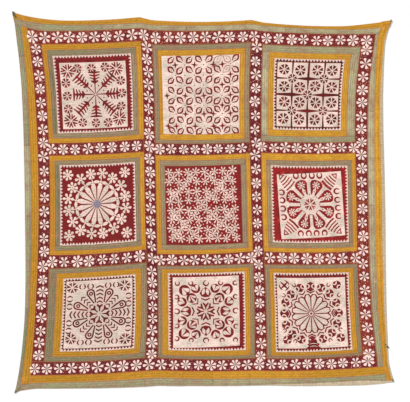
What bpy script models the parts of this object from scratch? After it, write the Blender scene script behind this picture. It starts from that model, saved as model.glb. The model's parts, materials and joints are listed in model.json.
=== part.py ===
"""A nine-block appliqué ralli quilt, lying flat on a surface.

The quilt is drafted straight, as its maker would have planned it, and then laid as it lies: every seam
strays a little from its straight place, and the four corners are pulled out into points. A point of the
plan is (u, v), in millimetres from the middle, u to the right and v towards the top edge. Underneath is
the backing. The patchwork (borders, sashes, frames and ground panels) lies on it edge to edge, and the
cream top cloths lie on the ground panels.
"""

from collections import namedtuple
from math import cos, hypot, radians, sin

import bmesh
import bpy

MM = 0.001

# Driving dimensions, in millimetres.
BLOCK = 506.0
SASH = 66.0
BACKING_THICK = 2.2
PATCH_THICK = 1.0
TOP_THICK = 1.0
GAP = 0.4
LAYER_GAP = 0.3

# Straight places of the block edges, from the left or from the bottom.
NEAR, FAR = BLOCK / 2, BLOCK / 2 + SASH
OUTER = FAR + BLOCK
BLOCK_EDGES = (-OUTER, -FAR, -NEAR, NEAR, FAR, OUTER)
BLOCK_PARTS = 3

# A gap between two seams this wide is a border strip, which has one more grid line along its middle.
STRIP_LEAST, STRIP_MOST = 20.0, 40.0

# Upright seams: the straight place, and how far the seam strays to the right at five heights.
HEIGHTS = (910.0, 555.0, 0.0, -545.0, -890.0)
Upright = namedtuple("Upright", "name place top upper middle lower bottom")
UPRIGHTS = (
    Upright("left edge", -963, -28, 5, 20, 20, -8),
    Upright("left strips", -927, -33, 0, 19, 6, -27),
    Upright("left sash edge", -891, -39, 1, 20, 3, -22),
    Upright("column 1 left", -OUTER, -39, -2, 17, 2, -21),
    Upright("column 1 right", -FAR, -15, 1, 10, 23, 9),
    Upright("column 2 left", -NEAR, -18, -4, 7, 17, 16),
    Upright("column 2 right", NEAR, 3, -8, 2, 20, 22),
    Upright("column 3 left", FAR, 1, -9, -4, 17, 21),
    Upright("column 3 right", OUTER, 21, -17, -13, 0, 23),
    Upright("right sash edge", 891, 26, -14, -14, 3, 36),
    Upright("right strips", 925, 2, -15, -13, 3, 31),
    Upright("right rim", 951, 12, -12, -4, 8, 28),
    Upright("right edge", 963, 5, -9, 2, 9, 22),
)

# Level seams: the straight place, how far the seam strays upwards at eight crossings, and how far it
# sags between the upright sashes.
CROSSINGS = (-963.0, *BLOCK_EDGES, 963.0)
Level = namedtuple("Level", "name place left c1_left c1_right c2_left c2_right c3_left c3_right right sag")
LEVELS = (
    Level("top edge", 953, 24, 16, 31, 15, 16, 2, -14, -8, 10),
    Level("top strips", 928, 24, 18, 26, 15, 19, 11, -10, -11, 6),
    Level("top sash edge", 892, 38, 18, 34, 23, 26, 17, 2, 0, 5),
    Level("row 1 top", OUTER, 17, 14, 31, 12, 25, 14, 1, -2, 4),
    Level("row 1 bottom", FAR, -2, -2, 21, -2, 3, 9, 4, 6, 6),
    Level("row 2 top", NEAR, -5, -4, 17, -2, 9, 11, 9, 11, 5),
    Level("row 2 bottom", -NEAR, -24, -23, 8, -16, -3, -3, -1, 0, 8),
    Level("row 3 top", -FAR, -33, -32, 2, -16, -4, -8, -5, -3, 4),
    Level("row 3 bottom", -OUTER, -16, -16, 5, 5, 4, 2, 19, 24, 8),
    Level("low sash edge", -893, -23, -22, 2, 5, 4, 2, 17, 28, 5),
    Level("bottom strips", -929, -28, -24, -1, 3, -1, -2, 13, 24, 4),
    Level("bottom rim", -963, -19, -20, -9, -3, -2, 1, 22, 9, 3),
    Level("bottom edge", -967, -17, -18, -8, -2, -1, 0, 0, 6, 3),
)

# The straight places of the seams, by name.
U = {seam.name: float(seam.place) for seam in UPRIGHTS}
V = {seam.name: float(seam.place) for seam in LEVELS}

# Where each pulled-out corner ends, how far its pull reaches along and down the quilt, and how fast it
# dies away: the higher the power, the slimmer the point.
Corner = namedtuple("Corner", "u v x y reach_along reach_down power")
CORNERS = (
    Corner(U["left edge"], V["top edge"], -1010, 1010, 300, 220, 2.0),
    Corner(U["right edge"], V["top edge"], 1000, 968, 240, 120, 1.3),
    Corner(U["right edge"], V["bottom edge"], 1010, -948, 150, 110, 1.5),
    Corner(U["left edge"], V["bottom edge"], -1000, -1010, 130, 200, 2.0),
)

# Soft folds that stand up from the surface, each along a line from one end to the other.
Fold = namedtuple("Fold", "name u1 v1 u2 v2 rise half_width")
FOLDS = (
    Fold("left strip", -945, 560, -945, -260, 3.0, 34),
    Fold("bottom left", -560, -948, -130, -952, 3.0, 30),
    Fold("bottom right", 90, -950, 560, -955, 2.5, 28),
    Fold("top middle", -250, 932, 180, 930, 2.0, 28),
    Fold("right strip", 938, 420, 938, -120, 2.5, 28),
    Fold("top left corner", -958, 946, -905, 895, 3.0, 30),
    Fold("top right corner", 958, 946, 905, 900, 3.0, 28),
    Fold("low right corner", 958, -962, 905, -905, 3.0, 28),
    Fold("low left corner", -958, -962, -900, -905, 3.0, 30),
)

# Each block: the colour of its outer frame, the widths of the two frames' strips and of the red that
# shows round the top cloth (left, top, right, bottom), and how far the top cloth is turned, in degrees.
Block = namedtuple("Block", "outer_colour outer inner red turn")
BLOCKS = (
    Block("ochre", (22, 28, 26, 23), (27, 31, 27, 26), (30, 37, 31, 21), 0),
    Block("sage", (26, 27, 26, 18), (18, 30, 26, 29), (3, 3, 3, 3), 0),
    Block("sage", (36, 37, 45, 31), (28, 31, 30, 33), (15, 16, 15, 15), 0),
    Block("ochre", (26, 25, 23, 21), (27, 23, 25, 26), (18, 18, 18, 18), 0),
    Block("ochre", (23, 25, 21, 21), (26, 29, 30, 26), (18, 18, 18, 18), 0),
    Block("ochre", (25, 34, 21, 21), (24, 27, 22, 27), (40, 37, 28, 27), 3),
    Block("sage", (40, 27, 28, 28), (36, 28, 29, 27), (13, 14, 14, 13), 0),
    Block("sage", (21, 18, 22, 17), (32, 21, 25, 28), (25, 25, 32, 26), 0),
    Block("sage", (24, 21, 22, 15), (23, 23, 27, 20), (15, 26, 21, 19), 0),
)

COLOURS = {
    "beige": "#D9B99B",
    "ochre": "#D9982A",
    "sage": "#A3A57F",
    "sash red": "#8C2B2E",
    "ground red": "#A8242C",
    "cream": "#E6D3C3",
}


def linear(hex_colour):
    """An sRGB colour, as six hex digits, in the linear values that a shader takes."""
    values = (int(hex_colour[i : i + 2], 16) / 255 for i in (1, 3, 5))
    return [c / 12.92 if c <= 0.04045 else ((c + 0.055) / 1.055) ** 2.4 for c in values] + [1.0]


def cotton(name, colour):
    material = bpy.data.materials.new(name)
    material.use_nodes = True
    shader = material.node_tree.nodes["Principled BSDF"]
    shader.inputs["Base Color"].default_value = linear(COLOURS[colour])
    shader.inputs["Roughness"].default_value = 0.9
    shader.inputs["Metallic"].default_value = 0.0
    return material


def between(places, values, at):
    """The value at a place by straight steps between stations; places run in either direction."""
    for i in range(len(places) - 1):
        share = (at - places[i]) / (places[i + 1] - places[i])
        if share <= 1 or i == len(places) - 2:
            return values[i] + (values[i + 1] - values[i]) * max(share, 0)


def slopes(places, values):
    """The slope at each station, from the stations on either side of it."""
    last = len(places) - 1
    ends = [(max(i - 1, 0), min(i + 1, last)) for i in range(last + 1)]
    return [(values[b] - values[a]) / (places[b] - places[a]) for a, b in ends]


def smoothly(places, values, at):
    """The value at a place on a smooth run through the stations, straight beyond the two ends."""
    slope = slopes(places, values)
    if at > places[0]:
        return values[0] + slope[0] * (at - places[0])
    if at < places[-1]:
        return values[-1] + slope[-1] * (at - places[-1])
    i = next(k for k in range(len(places) - 1) if at >= places[k + 1])
    span = places[i + 1] - places[i]
    t = (at - places[i]) / span
    pull = t * (1 - t)
    from_start = (1 + 2 * t) * (1 - t) ** 2 * values[i] + pull * (1 - t) * span * slope[i]
    from_end = t * t * (3 - 2 * t) * values[i + 1] - pull * t * span * slope[i + 1]
    return from_start + from_end


def sag_share(u):
    """How much of a level seam's sag shows at u: none at the upright sashes, all in mid-block."""
    for left, right in zip(BLOCK_EDGES[::2], BLOCK_EDGES[1::2], strict=True):
        if left < u < right:
            t = (u - left) / (right - left)
            return 4 * t * (1 - t)
    return 0.0


def strayed(u, v):
    """Where the seams' straying takes a point of the plan."""
    xs = [seam.place + smoothly(HEIGHTS, seam[2:], v) for seam in UPRIGHTS]
    ys = [seam.place + between(CROSSINGS, seam[2:-1], u) - seam.sag * sag_share(u) for seam in LEVELS]
    return between(list(U.values()), xs, u), between(list(V.values()), ys, v)


def laid(u, v):
    """Where a point of the plan lies, with the corners' pull."""
    x, y = strayed(u, v)
    for corner in CORNERS:
        far = abs(u - corner.u) / corner.reach_along + abs(v - corner.v) / corner.reach_down
        if far < 1:
            corner_x, corner_y = strayed(corner.u, corner.v)
            x += (corner.x - corner_x) * (1 - far) ** corner.power
            y += (corner.y - corner_y) * (1 - far) ** corner.power
    return x, y


def lift(u, v):
    """How high the folds carry the cloth off the surface."""
    height = 0.0
    for fold in FOLDS:
        du, dv = fold.u2 - fold.u1, fold.v2 - fold.v1
        along = ((u - fold.u1) * du + (v - fold.v1) * dv) / (du * du + dv * dv)
        along = min(max(along, 0), 1)
        off = hypot(u - fold.u1 - along * du, v - fold.v1 - along * dv) / fold.half_width
        if off < 1:
            height = max(height, fold.rise * (1 - off * off) ** 2)
    return height


def lines(places):
    """The plan's grid lines: every seam, the parts of each block and the middle of each border strip."""
    found = []
    for low, high in zip(places, places[1:], strict=False):
        parts = 1
        if high - low == BLOCK:
            parts = BLOCK_PARTS
        elif STRIP_LEAST < high - low < STRIP_MOST:
            parts = 2
        found += [low + (high - low) * k / parts for k in range(parts)]
    return [*found, places[-1]]


U_LINES = lines(sorted(U.values()))
V_LINES = lines(sorted(V.values()))
CROSSES = {(u, v): (*laid(u, v), lift(u, v)) for u in U_LINES for v in V_LINES}


def cell_of(places, at):
    i = next((k for k in range(len(places) - 2) if at <= places[k + 1]), len(places) - 2)
    return places[i], places[i + 1], (at - places[i]) / (places[i + 1] - places[i])


def on_grid(u, v):
    """A point of the plan as it lies, straight between the grid's crossings, so that pieces keep their
    gap whatever lines they are cut along."""
    left, right, s = cell_of(U_LINES, u)
    low, high, t = cell_of(V_LINES, v)
    corners = (
        ((1 - s) * (1 - t), CROSSES[left, low]),
        (s * (1 - t), CROSSES[right, low]),
        (s * t, CROSSES[right, high]),
        ((1 - s) * t, CROSSES[left, high]),
    )
    return [sum(share * place[axis] for share, place in corners) for axis in range(3)]


def middle(places, start, end):
    return [p for p in places if start < p < end]


def span(places, start, end):
    """The grid lines of a piece from start to end, its two edges drawn in by half a gap."""
    return [start + GAP / 2, *middle(places, start, end), end - GAP / 2]


def cloth(name, us, vs, under, thick, colour, hole=None, turn=0.0):
    """A sheet cut along the lines us and vs of the plan, lying `under` above the surface. It is raised
    straight up to its thickness, so that one layer follows the next over the folds. A hole is the number
    of outer cells that stay round it; a turned sheet is turned about its middle."""
    columns, rows = len(us) - 1, len(vs) - 1
    bm = bmesh.new()
    bmesh.ops.create_grid(bm, x_segments=columns, y_segments=rows, size=1)
    if hole:
        inside = [
            f
            for f in bm.faces
            if abs(f.calc_center_median().x) < 1 - 2 * hole / columns
            and abs(f.calc_center_median().y) < 1 - 2 * hole / rows
        ]
        bmesh.ops.delete(bm, geom=inside, context="FACES")
    mid_u, mid_v = (us[0] + us[-1]) / 2, (vs[0] + vs[-1]) / 2
    for vert in bm.verts:
        u = us[round((vert.co.x + 1) / 2 * columns)] - mid_u
        v = vs[round((vert.co.y + 1) / 2 * rows)] - mid_v
        turned_u = mid_u + u * cos(turn) - v * sin(turn)
        turned_v = mid_v + u * sin(turn) + v * cos(turn)
        x, y, height = on_grid(turned_u, turned_v)
        vert.co = (x * MM, y * MM, (height + under) * MM)
    bmesh.ops.triangulate(bm, faces=bm.faces, quad_method="FIXED")
    raised = bmesh.ops.extrude_face_region(bm, geom=bm.faces, use_keep_orig=True)["geom"]
    top = [part for part in raised if isinstance(part, bmesh.types.BMVert)]
    bmesh.ops.translate(bm, verts=top, vec=(0, 0, thick * MM))
    bmesh.ops.recalc_face_normals(bm, faces=bm.faces)
    mesh = bpy.data.meshes.new(name)
    bm.to_mesh(mesh)
    bm.free()
    mesh.materials.append(cotton(f"{name} cotton", colour))
    piece = bpy.data.objects.new(name, mesh)
    quilt.objects.link(piece)
    return piece


def patch(name, us, vs, colour, **more):
    """A piece of the patchwork, which lies on the backing."""
    return cloth(name, us, vs, BACKING_THICK + LAYER_GAP, PATCH_THICK, colour, **more)


# The border strips: colour, then the seams each lies between. Where two sides meet, one strip runs on and
# the other butts against it.
Strip = namedtuple("Strip", "name colour left right low top")
STRIPS = (
    Strip("top_outer", "ochre", "left edge", "right edge", "top strips", "top edge"),
    Strip("top_inner", "sage", "left edge", "right strips", "top sash edge", "top strips"),
    Strip("right_outer", "ochre", "right strips", "right rim", "bottom rim", "top strips"),
    Strip("right_inner", "sage", "right sash edge", "right strips", "low sash edge", "top sash edge"),
    Strip("bottom_inner", "ochre", "left sash edge", "right strips", "bottom strips", "low sash edge"),
    Strip("bottom_outer", "sage", "left strips", "right strips", "bottom rim", "bottom strips"),
    Strip("left_outer", "sage", "left edge", "left strips", "bottom rim", "top sash edge"),
    Strip("left_inner", "ochre", "left strips", "left sash edge", "bottom strips", "top sash edge"),
)


def make_borders():
    for strip in STRIPS:
        us = span(U_LINES, U[strip.left], U[strip.right])
        patch(f"border_{strip.name}", us, span(V_LINES, V[strip.low], V[strip.top]), strip.colour)


def make_sashes():
    """The printed strips: two full ones, four upright ones between them, and six short ones."""
    left, right = U["left sash edge"], U["right sash edge"]
    full = span(U_LINES, left, right)
    patch("sash_top", full, span(V_LINES, OUTER, V["top sash edge"]), "sash red")
    patch("sash_bottom", full, span(V_LINES, V["low sash edge"], -OUTER), "sash red")
    upright = span(V_LINES, -OUTER, OUTER)
    bands = ((left, -OUTER), (-FAR, -NEAR), (NEAR, FAR), (OUTER, right))
    for number, (start, end) in enumerate(bands, 1):
        patch(f"sash_upright_{number}", span(U_LINES, start, end), upright, "sash red")
    for row, (low, high) in enumerate(((NEAR, FAR), (-FAR, -NEAR)), 1):
        for column in range(3):
            us = span(U_LINES, BLOCK_EDGES[2 * column], BLOCK_EDGES[2 * column + 1])
            patch(f"sash_level_{row}_{column + 1}", us, span(V_LINES, low, high), "sash red")


def make_block(number, block, edges):
    """Two frames, the red ground panel and the cream top cloth, from the outside in."""
    other = "sage" if block.outer_colour == "ochre" else "ochre"
    for ring, widths, colour in (
        ("outer", block.outer, block.outer_colour),
        ("inner", block.inner, other),
    ):
        left, top, right, low = edges
        inside = (left + widths[0], top - widths[1], right - widths[2], low + widths[3])
        us = [left + GAP / 2, inside[0] - GAP / 2, *middle(U_LINES, inside[0], inside[2])]
        us += [inside[2] + GAP / 2, right - GAP / 2]
        vs = [low + GAP / 2, inside[3] - GAP / 2, *middle(V_LINES, inside[3], inside[1])]
        vs += [inside[1] + GAP / 2, top - GAP / 2]
        patch(f"frame_{ring}_{number}", us, vs, colour, hole=1)
        edges = inside
    left, top, right, low = edges
    patch(f"ground_{number}", span(U_LINES, left, right), span(V_LINES, low, top), "ground red")
    us = span(U_LINES, left + block.red[0], right - block.red[2])
    vs = span(V_LINES, low + block.red[3], top - block.red[1])
    under = BACKING_THICK + PATCH_THICK + 2 * LAYER_GAP
    cloth(f"top_cloth_{number}", us, vs, under, TOP_THICK, "cream", turn=radians(block.turn))


for old in list(bpy.data.objects):
    bpy.data.objects.remove(old)
quilt = bpy.data.collections.new("ralli quilt")
bpy.context.scene.collection.children.link(quilt)

cloth("backing", U_LINES, V_LINES, 0, BACKING_THICK, "beige")
make_borders()
make_sashes()
for index, this_block in enumerate(BLOCKS):
    row, column = divmod(index, 3)
    block_edges = (
        BLOCK_EDGES[2 * column],
        BLOCK_EDGES[5 - 2 * row],
        BLOCK_EDGES[2 * column + 1],
        BLOCK_EDGES[4 - 2 * row],
    )
    make_block(index + 1, this_block, block_edges)
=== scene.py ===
# %% [markdown]
# # A ralli quilt
# A ralli is a patchwork quilt whose maker cuts patterns through a folded cream cloth, sews that cloth down
# on red, frames each block with two narrow strips and joins the nine blocks with printed sashes. The
# quilted cloth is then stitched through in rows. This notebook makes every one of those cloths as its own
# thin, closed sheet. All of them are drafted straight, on a flat plan, and one function then lays them:
# that keeps each layer in step with the next, however crooked the quilt lies.

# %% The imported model, which every piece is fitted to
import json
from collections import namedtuple
from functools import partial
from itertools import product
from math import cos, hypot, pi, radians, sin
from random import Random

import bpy
import numpy as np
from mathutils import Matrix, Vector
from mathutils.geometry import delaunay_2d_cdt
from mathutils.kdtree import KDTree

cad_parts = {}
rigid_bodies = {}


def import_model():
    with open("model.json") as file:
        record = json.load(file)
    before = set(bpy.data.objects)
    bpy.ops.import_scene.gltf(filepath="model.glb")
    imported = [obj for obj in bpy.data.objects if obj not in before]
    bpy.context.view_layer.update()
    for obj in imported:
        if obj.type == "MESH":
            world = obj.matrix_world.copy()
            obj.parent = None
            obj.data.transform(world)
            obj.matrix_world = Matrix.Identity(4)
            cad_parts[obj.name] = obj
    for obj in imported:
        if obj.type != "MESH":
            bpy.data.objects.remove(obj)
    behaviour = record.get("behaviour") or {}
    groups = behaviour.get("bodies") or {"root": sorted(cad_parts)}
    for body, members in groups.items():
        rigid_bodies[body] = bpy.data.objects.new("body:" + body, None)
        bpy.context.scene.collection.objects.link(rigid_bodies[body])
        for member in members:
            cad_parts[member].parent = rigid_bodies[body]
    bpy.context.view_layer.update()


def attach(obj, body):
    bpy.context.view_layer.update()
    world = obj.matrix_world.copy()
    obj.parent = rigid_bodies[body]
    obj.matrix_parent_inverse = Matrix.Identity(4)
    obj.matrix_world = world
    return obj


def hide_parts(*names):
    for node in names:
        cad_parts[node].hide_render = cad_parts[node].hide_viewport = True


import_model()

MM = 0.001

# %% [markdown]
# ## The plan
# Seams on a real quilt are never straight: the layers creep as they are stitched, and the corners are
# pulled out when it is carried and shaken. A point of the plan is (u, v) in millimetres from the middle.
# Two tables say how far each upright and each level seam strays from its straight place, and a third says
# where the four corners are pulled to. A cloth could also be drawn crooked to begin with, but then every
# pattern on it would have to be drawn crooked too.

# %% Sizes and seams, in millimetres
BLOCK, SASH = 506.0, 66.0
BACKING_THICK, PATCH_THICK, TOP_THICK = 2.2, 1.0, 1.0
GAP, LAYER_GAP = 0.4, 0.3
NEAR, FAR = BLOCK / 2, BLOCK / 2 + SASH
OUTER = FAR + BLOCK
BLOCK_EDGES = (-OUTER, -FAR, -NEAR, NEAR, FAR, OUTER)

HEIGHTS = (910.0, 555.0, 0.0, -545.0, -890.0)
Upright = namedtuple("Upright", "name place top upper middle lower bottom")
UPRIGHTS = (
    Upright("left edge", -963, -28, 5, 20, 20, -8),
    Upright("left strips", -927, -33, 0, 19, 6, -27),
    Upright("left sash edge", -891, -39, 1, 20, 3, -22),
    Upright("column 1 left", -OUTER, -39, -2, 17, 2, -21),
    Upright("column 1 right", -FAR, -15, 1, 10, 23, 9),
    Upright("column 2 left", -NEAR, -18, -4, 7, 17, 16),
    Upright("column 2 right", NEAR, 3, -8, 2, 20, 22),
    Upright("column 3 left", FAR, 1, -9, -4, 17, 21),
    Upright("column 3 right", OUTER, 21, -17, -13, 0, 23),
    Upright("right sash edge", 891, 26, -14, -14, 3, 36),
    Upright("right strips", 925, 2, -15, -13, 3, 31),
    Upright("right rim", 951, 12, -12, -4, 8, 28),
    Upright("right edge", 963, 5, -9, 2, 9, 22),
)
CROSSINGS = (-963.0, *BLOCK_EDGES, 963.0)
Level = namedtuple("Level", "name place left c1_left c1_right c2_left c2_right c3_left c3_right right sag")
LEVELS = (
    Level("top edge", 953, 24, 16, 31, 15, 16, 2, -14, -8, 10),
    Level("top strips", 928, 24, 18, 26, 15, 19, 11, -10, -11, 6),
    Level("top sash edge", 892, 38, 18, 34, 23, 26, 17, 2, 0, 5),
    Level("row 1 top", OUTER, 17, 14, 31, 12, 25, 14, 1, -2, 4),
    Level("row 1 bottom", FAR, -2, -2, 21, -2, 3, 9, 4, 6, 6),
    Level("row 2 top", NEAR, -5, -4, 17, -2, 9, 11, 9, 11, 5),
    Level("row 2 bottom", -NEAR, -24, -23, 8, -16, -3, -3, -1, 0, 8),
    Level("row 3 top", -FAR, -33, -32, 2, -16, -4, -8, -5, -3, 4),
    Level("row 3 bottom", -OUTER, -16, -16, 5, 5, 4, 2, 19, 24, 8),
    Level("low sash edge", -893, -23, -22, 2, 5, 4, 2, 17, 28, 5),
    Level("bottom strips", -929, -28, -24, -1, 3, -1, -2, 13, 24, 4),
    Level("bottom rim", -963, -19, -20, -9, -3, -2, 1, 22, 9, 3),
    Level("bottom edge", -967, -17, -18, -8, -2, -1, 0, 0, 6, 3),
)
U = {seam.name: float(seam.place) for seam in UPRIGHTS}
V = {seam.name: float(seam.place) for seam in LEVELS}
Corner = namedtuple("Corner", "u v x y reach_along reach_down power")
CORNERS = (
    Corner(U["left edge"], V["top edge"], -1010, 1010, 300, 220, 2.0),
    Corner(U["right edge"], V["top edge"], 1000, 968, 240, 120, 1.3),
    Corner(U["right edge"], V["bottom edge"], 1010, -948, 150, 110, 1.5),
    Corner(U["left edge"], V["bottom edge"], -1000, -1010, 130, 200, 2.0),
)
print("the plan has", len(UPRIGHTS), "upright seams and", len(LEVELS), "level ones")


# %% From the plan to the quilt as it lies
def smoothly(places, values, at):
    """Values along a smooth run through the stations, straight beyond its two ends."""
    place, value = np.array(places[::-1]), np.array(values[::-1], float)
    last = len(place) - 1
    before, after = [max(i - 1, 0) for i in range(last + 1)], [min(i + 1, last) for i in range(last + 1)]
    slope = (value[after] - value[before]) / (place[after] - place[before])
    i = np.clip(np.searchsorted(place, at) - 1, 0, last - 1)
    span = place[i + 1] - place[i]
    t = np.clip((at - place[i]) / span, 0, 1)
    from_low = (1 + 2 * t) * (1 - t) ** 2 * value[i] + t * (1 - t) ** 2 * span * slope[i]
    from_high = t * t * (3 - 2 * t) * value[i + 1] - t * t * (1 - t) * span * slope[i + 1]
    beyond = slope[0] * np.minimum(at - place[0], 0) + slope[-1] * np.maximum(at - place[-1], 0)
    return from_low + from_high + beyond


def sag_share(u):
    """How much of a level seam's sag shows: none at the upright sashes, all in mid-block."""
    share = np.zeros_like(u)
    for left, right in zip(BLOCK_EDGES[::2], BLOCK_EDGES[1::2]):
        t = np.clip((u - left) / (right - left), 0, 1)
        share += 4 * t * (1 - t)
    return share


def across_seams(places, seams, at):
    """Between two seams a point keeps its share of the way from one to the other."""
    places, seams = np.array(places), np.array(seams)
    i = np.clip(np.searchsorted(places, at) - 1, 0, len(places) - 2)
    share = np.maximum((at - places[i]) / (places[i + 1] - places[i]), 0)
    point = np.arange(len(at))
    return seams[i, point] * (1 - share) + seams[i + 1, point] * share


def strayed(u, v):
    """Where points of the plan lie before the corners are pulled."""
    xs = [seam.place + smoothly(HEIGHTS, seam[2:], v) for seam in UPRIGHTS]
    ys = [seam.place + np.interp(u, CROSSINGS, seam[2:-1]) - seam.sag * sag_share(u) for seam in LEVELS]
    return across_seams(list(U.values()), xs, u), across_seams(list(V.values())[::-1], ys[::-1], v)


def laid(u, v):
    """Where points of the plan lie, with the corners' pull."""
    x, y = strayed(u, v)
    for corner in CORNERS:
        far = np.abs(u - corner.u) / corner.reach_along + np.abs(v - corner.v) / corner.reach_down
        pull = np.clip(1 - far, 0, 1) ** corner.power
        corner_x, corner_y = strayed(np.array([corner.u]), np.array([corner.v]))
        x = x + (corner.x - corner_x) * pull
        y = y + (corner.y - corner_y) * pull
    return x, y


# %% [markdown]
# ## Folds and ripples
# A quilt that has been folded away never lies quite flat. Soft folds carry all the layers off the surface,
# and shallower ripples only show on top, where the filling gives. A cloth simulation would settle the
# sheet to its own liking, so each fold and ripple is listed here, as a line with a height and a width, and
# the height dies away smoothly on both sides.

# %% Folds, which lift the cloth, and ripples, which only shape its top
Fold = namedtuple("Fold", "u1 v1 u2 v2 rise half_width")
# Along the four sides, then the curl of the four corners.
FOLDS = (
    Fold(-945, 560, -945, -260, 3.0, 34),
    Fold(-560, -948, -130, -952, 3.0, 30),
    Fold(90, -950, 560, -955, 2.5, 28),
    Fold(-250, 932, 180, 930, 2.0, 28),
    Fold(938, 420, 938, -120, 2.5, 28),
    Fold(-958, 946, -905, 895, 3.0, 30),
    Fold(958, 946, 905, 900, 3.0, 28),
    Fold(958, -962, 905, -905, 3.0, 28),
    Fold(-958, -962, -900, -905, 3.0, 30),
)
# On the strips at the left, top, bottom and right, at one corner, and on the frames of five blocks.
RIPPLES = (
    Fold(-915, 700, -905, 120, -1.0, 22),
    Fold(-952, 520, -950, -60, -1.2, 12),
    Fold(-935, -200, -940, -760, 1.4, 20),
    Fold(-760, 915, -330, 922, -1.1, 18),
    Fold(300, 925, 760, 915, 1.3, 20),
    Fold(-520, -956, 180, -957, -1.2, 10),
    Fold(-860, -940, -600, -948, 1.3, 20),
    Fold(-700, -905, -60, -912, -0.9, 16),
    Fold(905, 760, 912, 300, 1.2, 20),
    Fold(915, -260, 930, -800, -1.2, 18),
    Fold(760, -905, 930, -945, -1.5, 16),
    Fold(-790, -350, -795, -760, -0.8, 14),
    Fold(795, -360, 800, -790, 0.9, 16),
    Fold(-800, 760, -795, 380, 0.9, 16),
    Fold(350, 798, 770, 790, -0.8, 14),
    Fold(-780, -225, -350, -222, 0.8, 14),
)
# Long, low waves all over: amplitude, and the waves' run in u and in v, in millimetres.
WAVES = ((0.28, 210, 330), (0.22, -150, 260), (0.2, 120, -170), (0.14, 75, 110), (0.12, -64, 83))


def heights(folds, u, v):
    """The height of every fold at each point."""
    found = []
    for fold in folds:
        du, dv = fold.u2 - fold.u1, fold.v2 - fold.v1
        along = np.clip(((u - fold.u1) * du + (v - fold.v1) * dv) / (du * du + dv * dv), 0, 1)
        off = np.hypot(u - fold.u1 - along * du, v - fold.v1 - along * dv) / fold.half_width
        found.append(fold.rise * (1 - np.minimum(off, 1) ** 2) ** 2)
    return found


def raised(u, v, height):
    """How high a point that is `height` above the quilt's underside lies above the surface."""
    waves = sum(rise * np.sin(2 * pi * (u / run_u + v / run_v)) for rise, run_u, run_v in WAVES)
    ripples = sum(heights(RIPPLES, u, v)) + waves
    return np.max(heights(FOLDS, u, v), axis=0) + ripples * np.clip(height / BACKING_THICK, 0, 1) + height


def lay(mesh):
    """Lays a mesh that was made on the plan, in metres."""
    points = np.empty(len(mesh.vertices) * 3, np.float32)
    mesh.vertices.foreach_get("co", points)
    u, v, height = points.reshape(-1, 3).astype(float).T / MM
    x, y = laid(u, v)
    z = raised(u, v, height)
    mesh.vertices.foreach_set("co", np.stack([x, y, z], axis=1).ravel() * MM)
    mesh.update()


print("folds:", len(FOLDS), "ripples:", len(RIPPLES))


# %% [markdown]
# ## Cottons
# Everything here is plain-woven cotton: a soft, dull surface with a little fuzz, hand dyed so that its
# colour wanders, and puckered where it is stitched. One function makes such a cotton from its dyes. It
# reads two attributes that each cloth carries: `dye`, which length of cloth this is together with
# any painted shade, and `edge`, how near the turned-under edge is. Its patterns follow the cloth's own UV
# map, which runs in metres along and across the cloth, so the threads turn with each strip.

# %% Helpers for colours and node trees
def linear(hex_colour):
    """An sRGB colour, as six hex digits, in the linear values that a shader takes."""
    values = (int(hex_colour[i : i + 2], 16) / 255 for i in (1, 3, 5))
    return [c / 12.92 if c <= 0.04045 else ((c + 0.055) / 1.055) ** 2.4 for c in values] + [1.0]


def fill(tree, node, sockets):
    """Fills sockets, given in order or by name or number, each with a value, an output or a node's first
    output."""
    for name, value in sockets.items() if isinstance(sockets, dict) else enumerate(sockets):
        value = value.outputs[0] if isinstance(value, bpy.types.Node) else value
        if isinstance(value, bpy.types.NodeSocket):
            tree.links.new(value, node.inputs[name])
        else:
            node.inputs[name].default_value = value


def add(tree, kind, sockets=(), **settings):
    """One more node, its settings given by name."""
    node = tree.nodes.new(kind)
    for name, value in settings.items():
        setattr(node, name, value)
    fill(tree, node, sockets)
    return node


# %% One cotton
ROW_PITCH = 11.0
# Threads are half a millimetre apart. They are drawn four times as coarse, so that they show at all.
THREAD_PITCH = 2.0
# How far apart the bands of a wave texture are at scale 1.
BAND_PITCH = pi / 10
# How deep the relief goes: the threads, and the valleys between two rows of stitches.
THREAD_DEPTH, VALLEY_DEPTH = 0.3 * MM, 2.0 * MM


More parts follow.
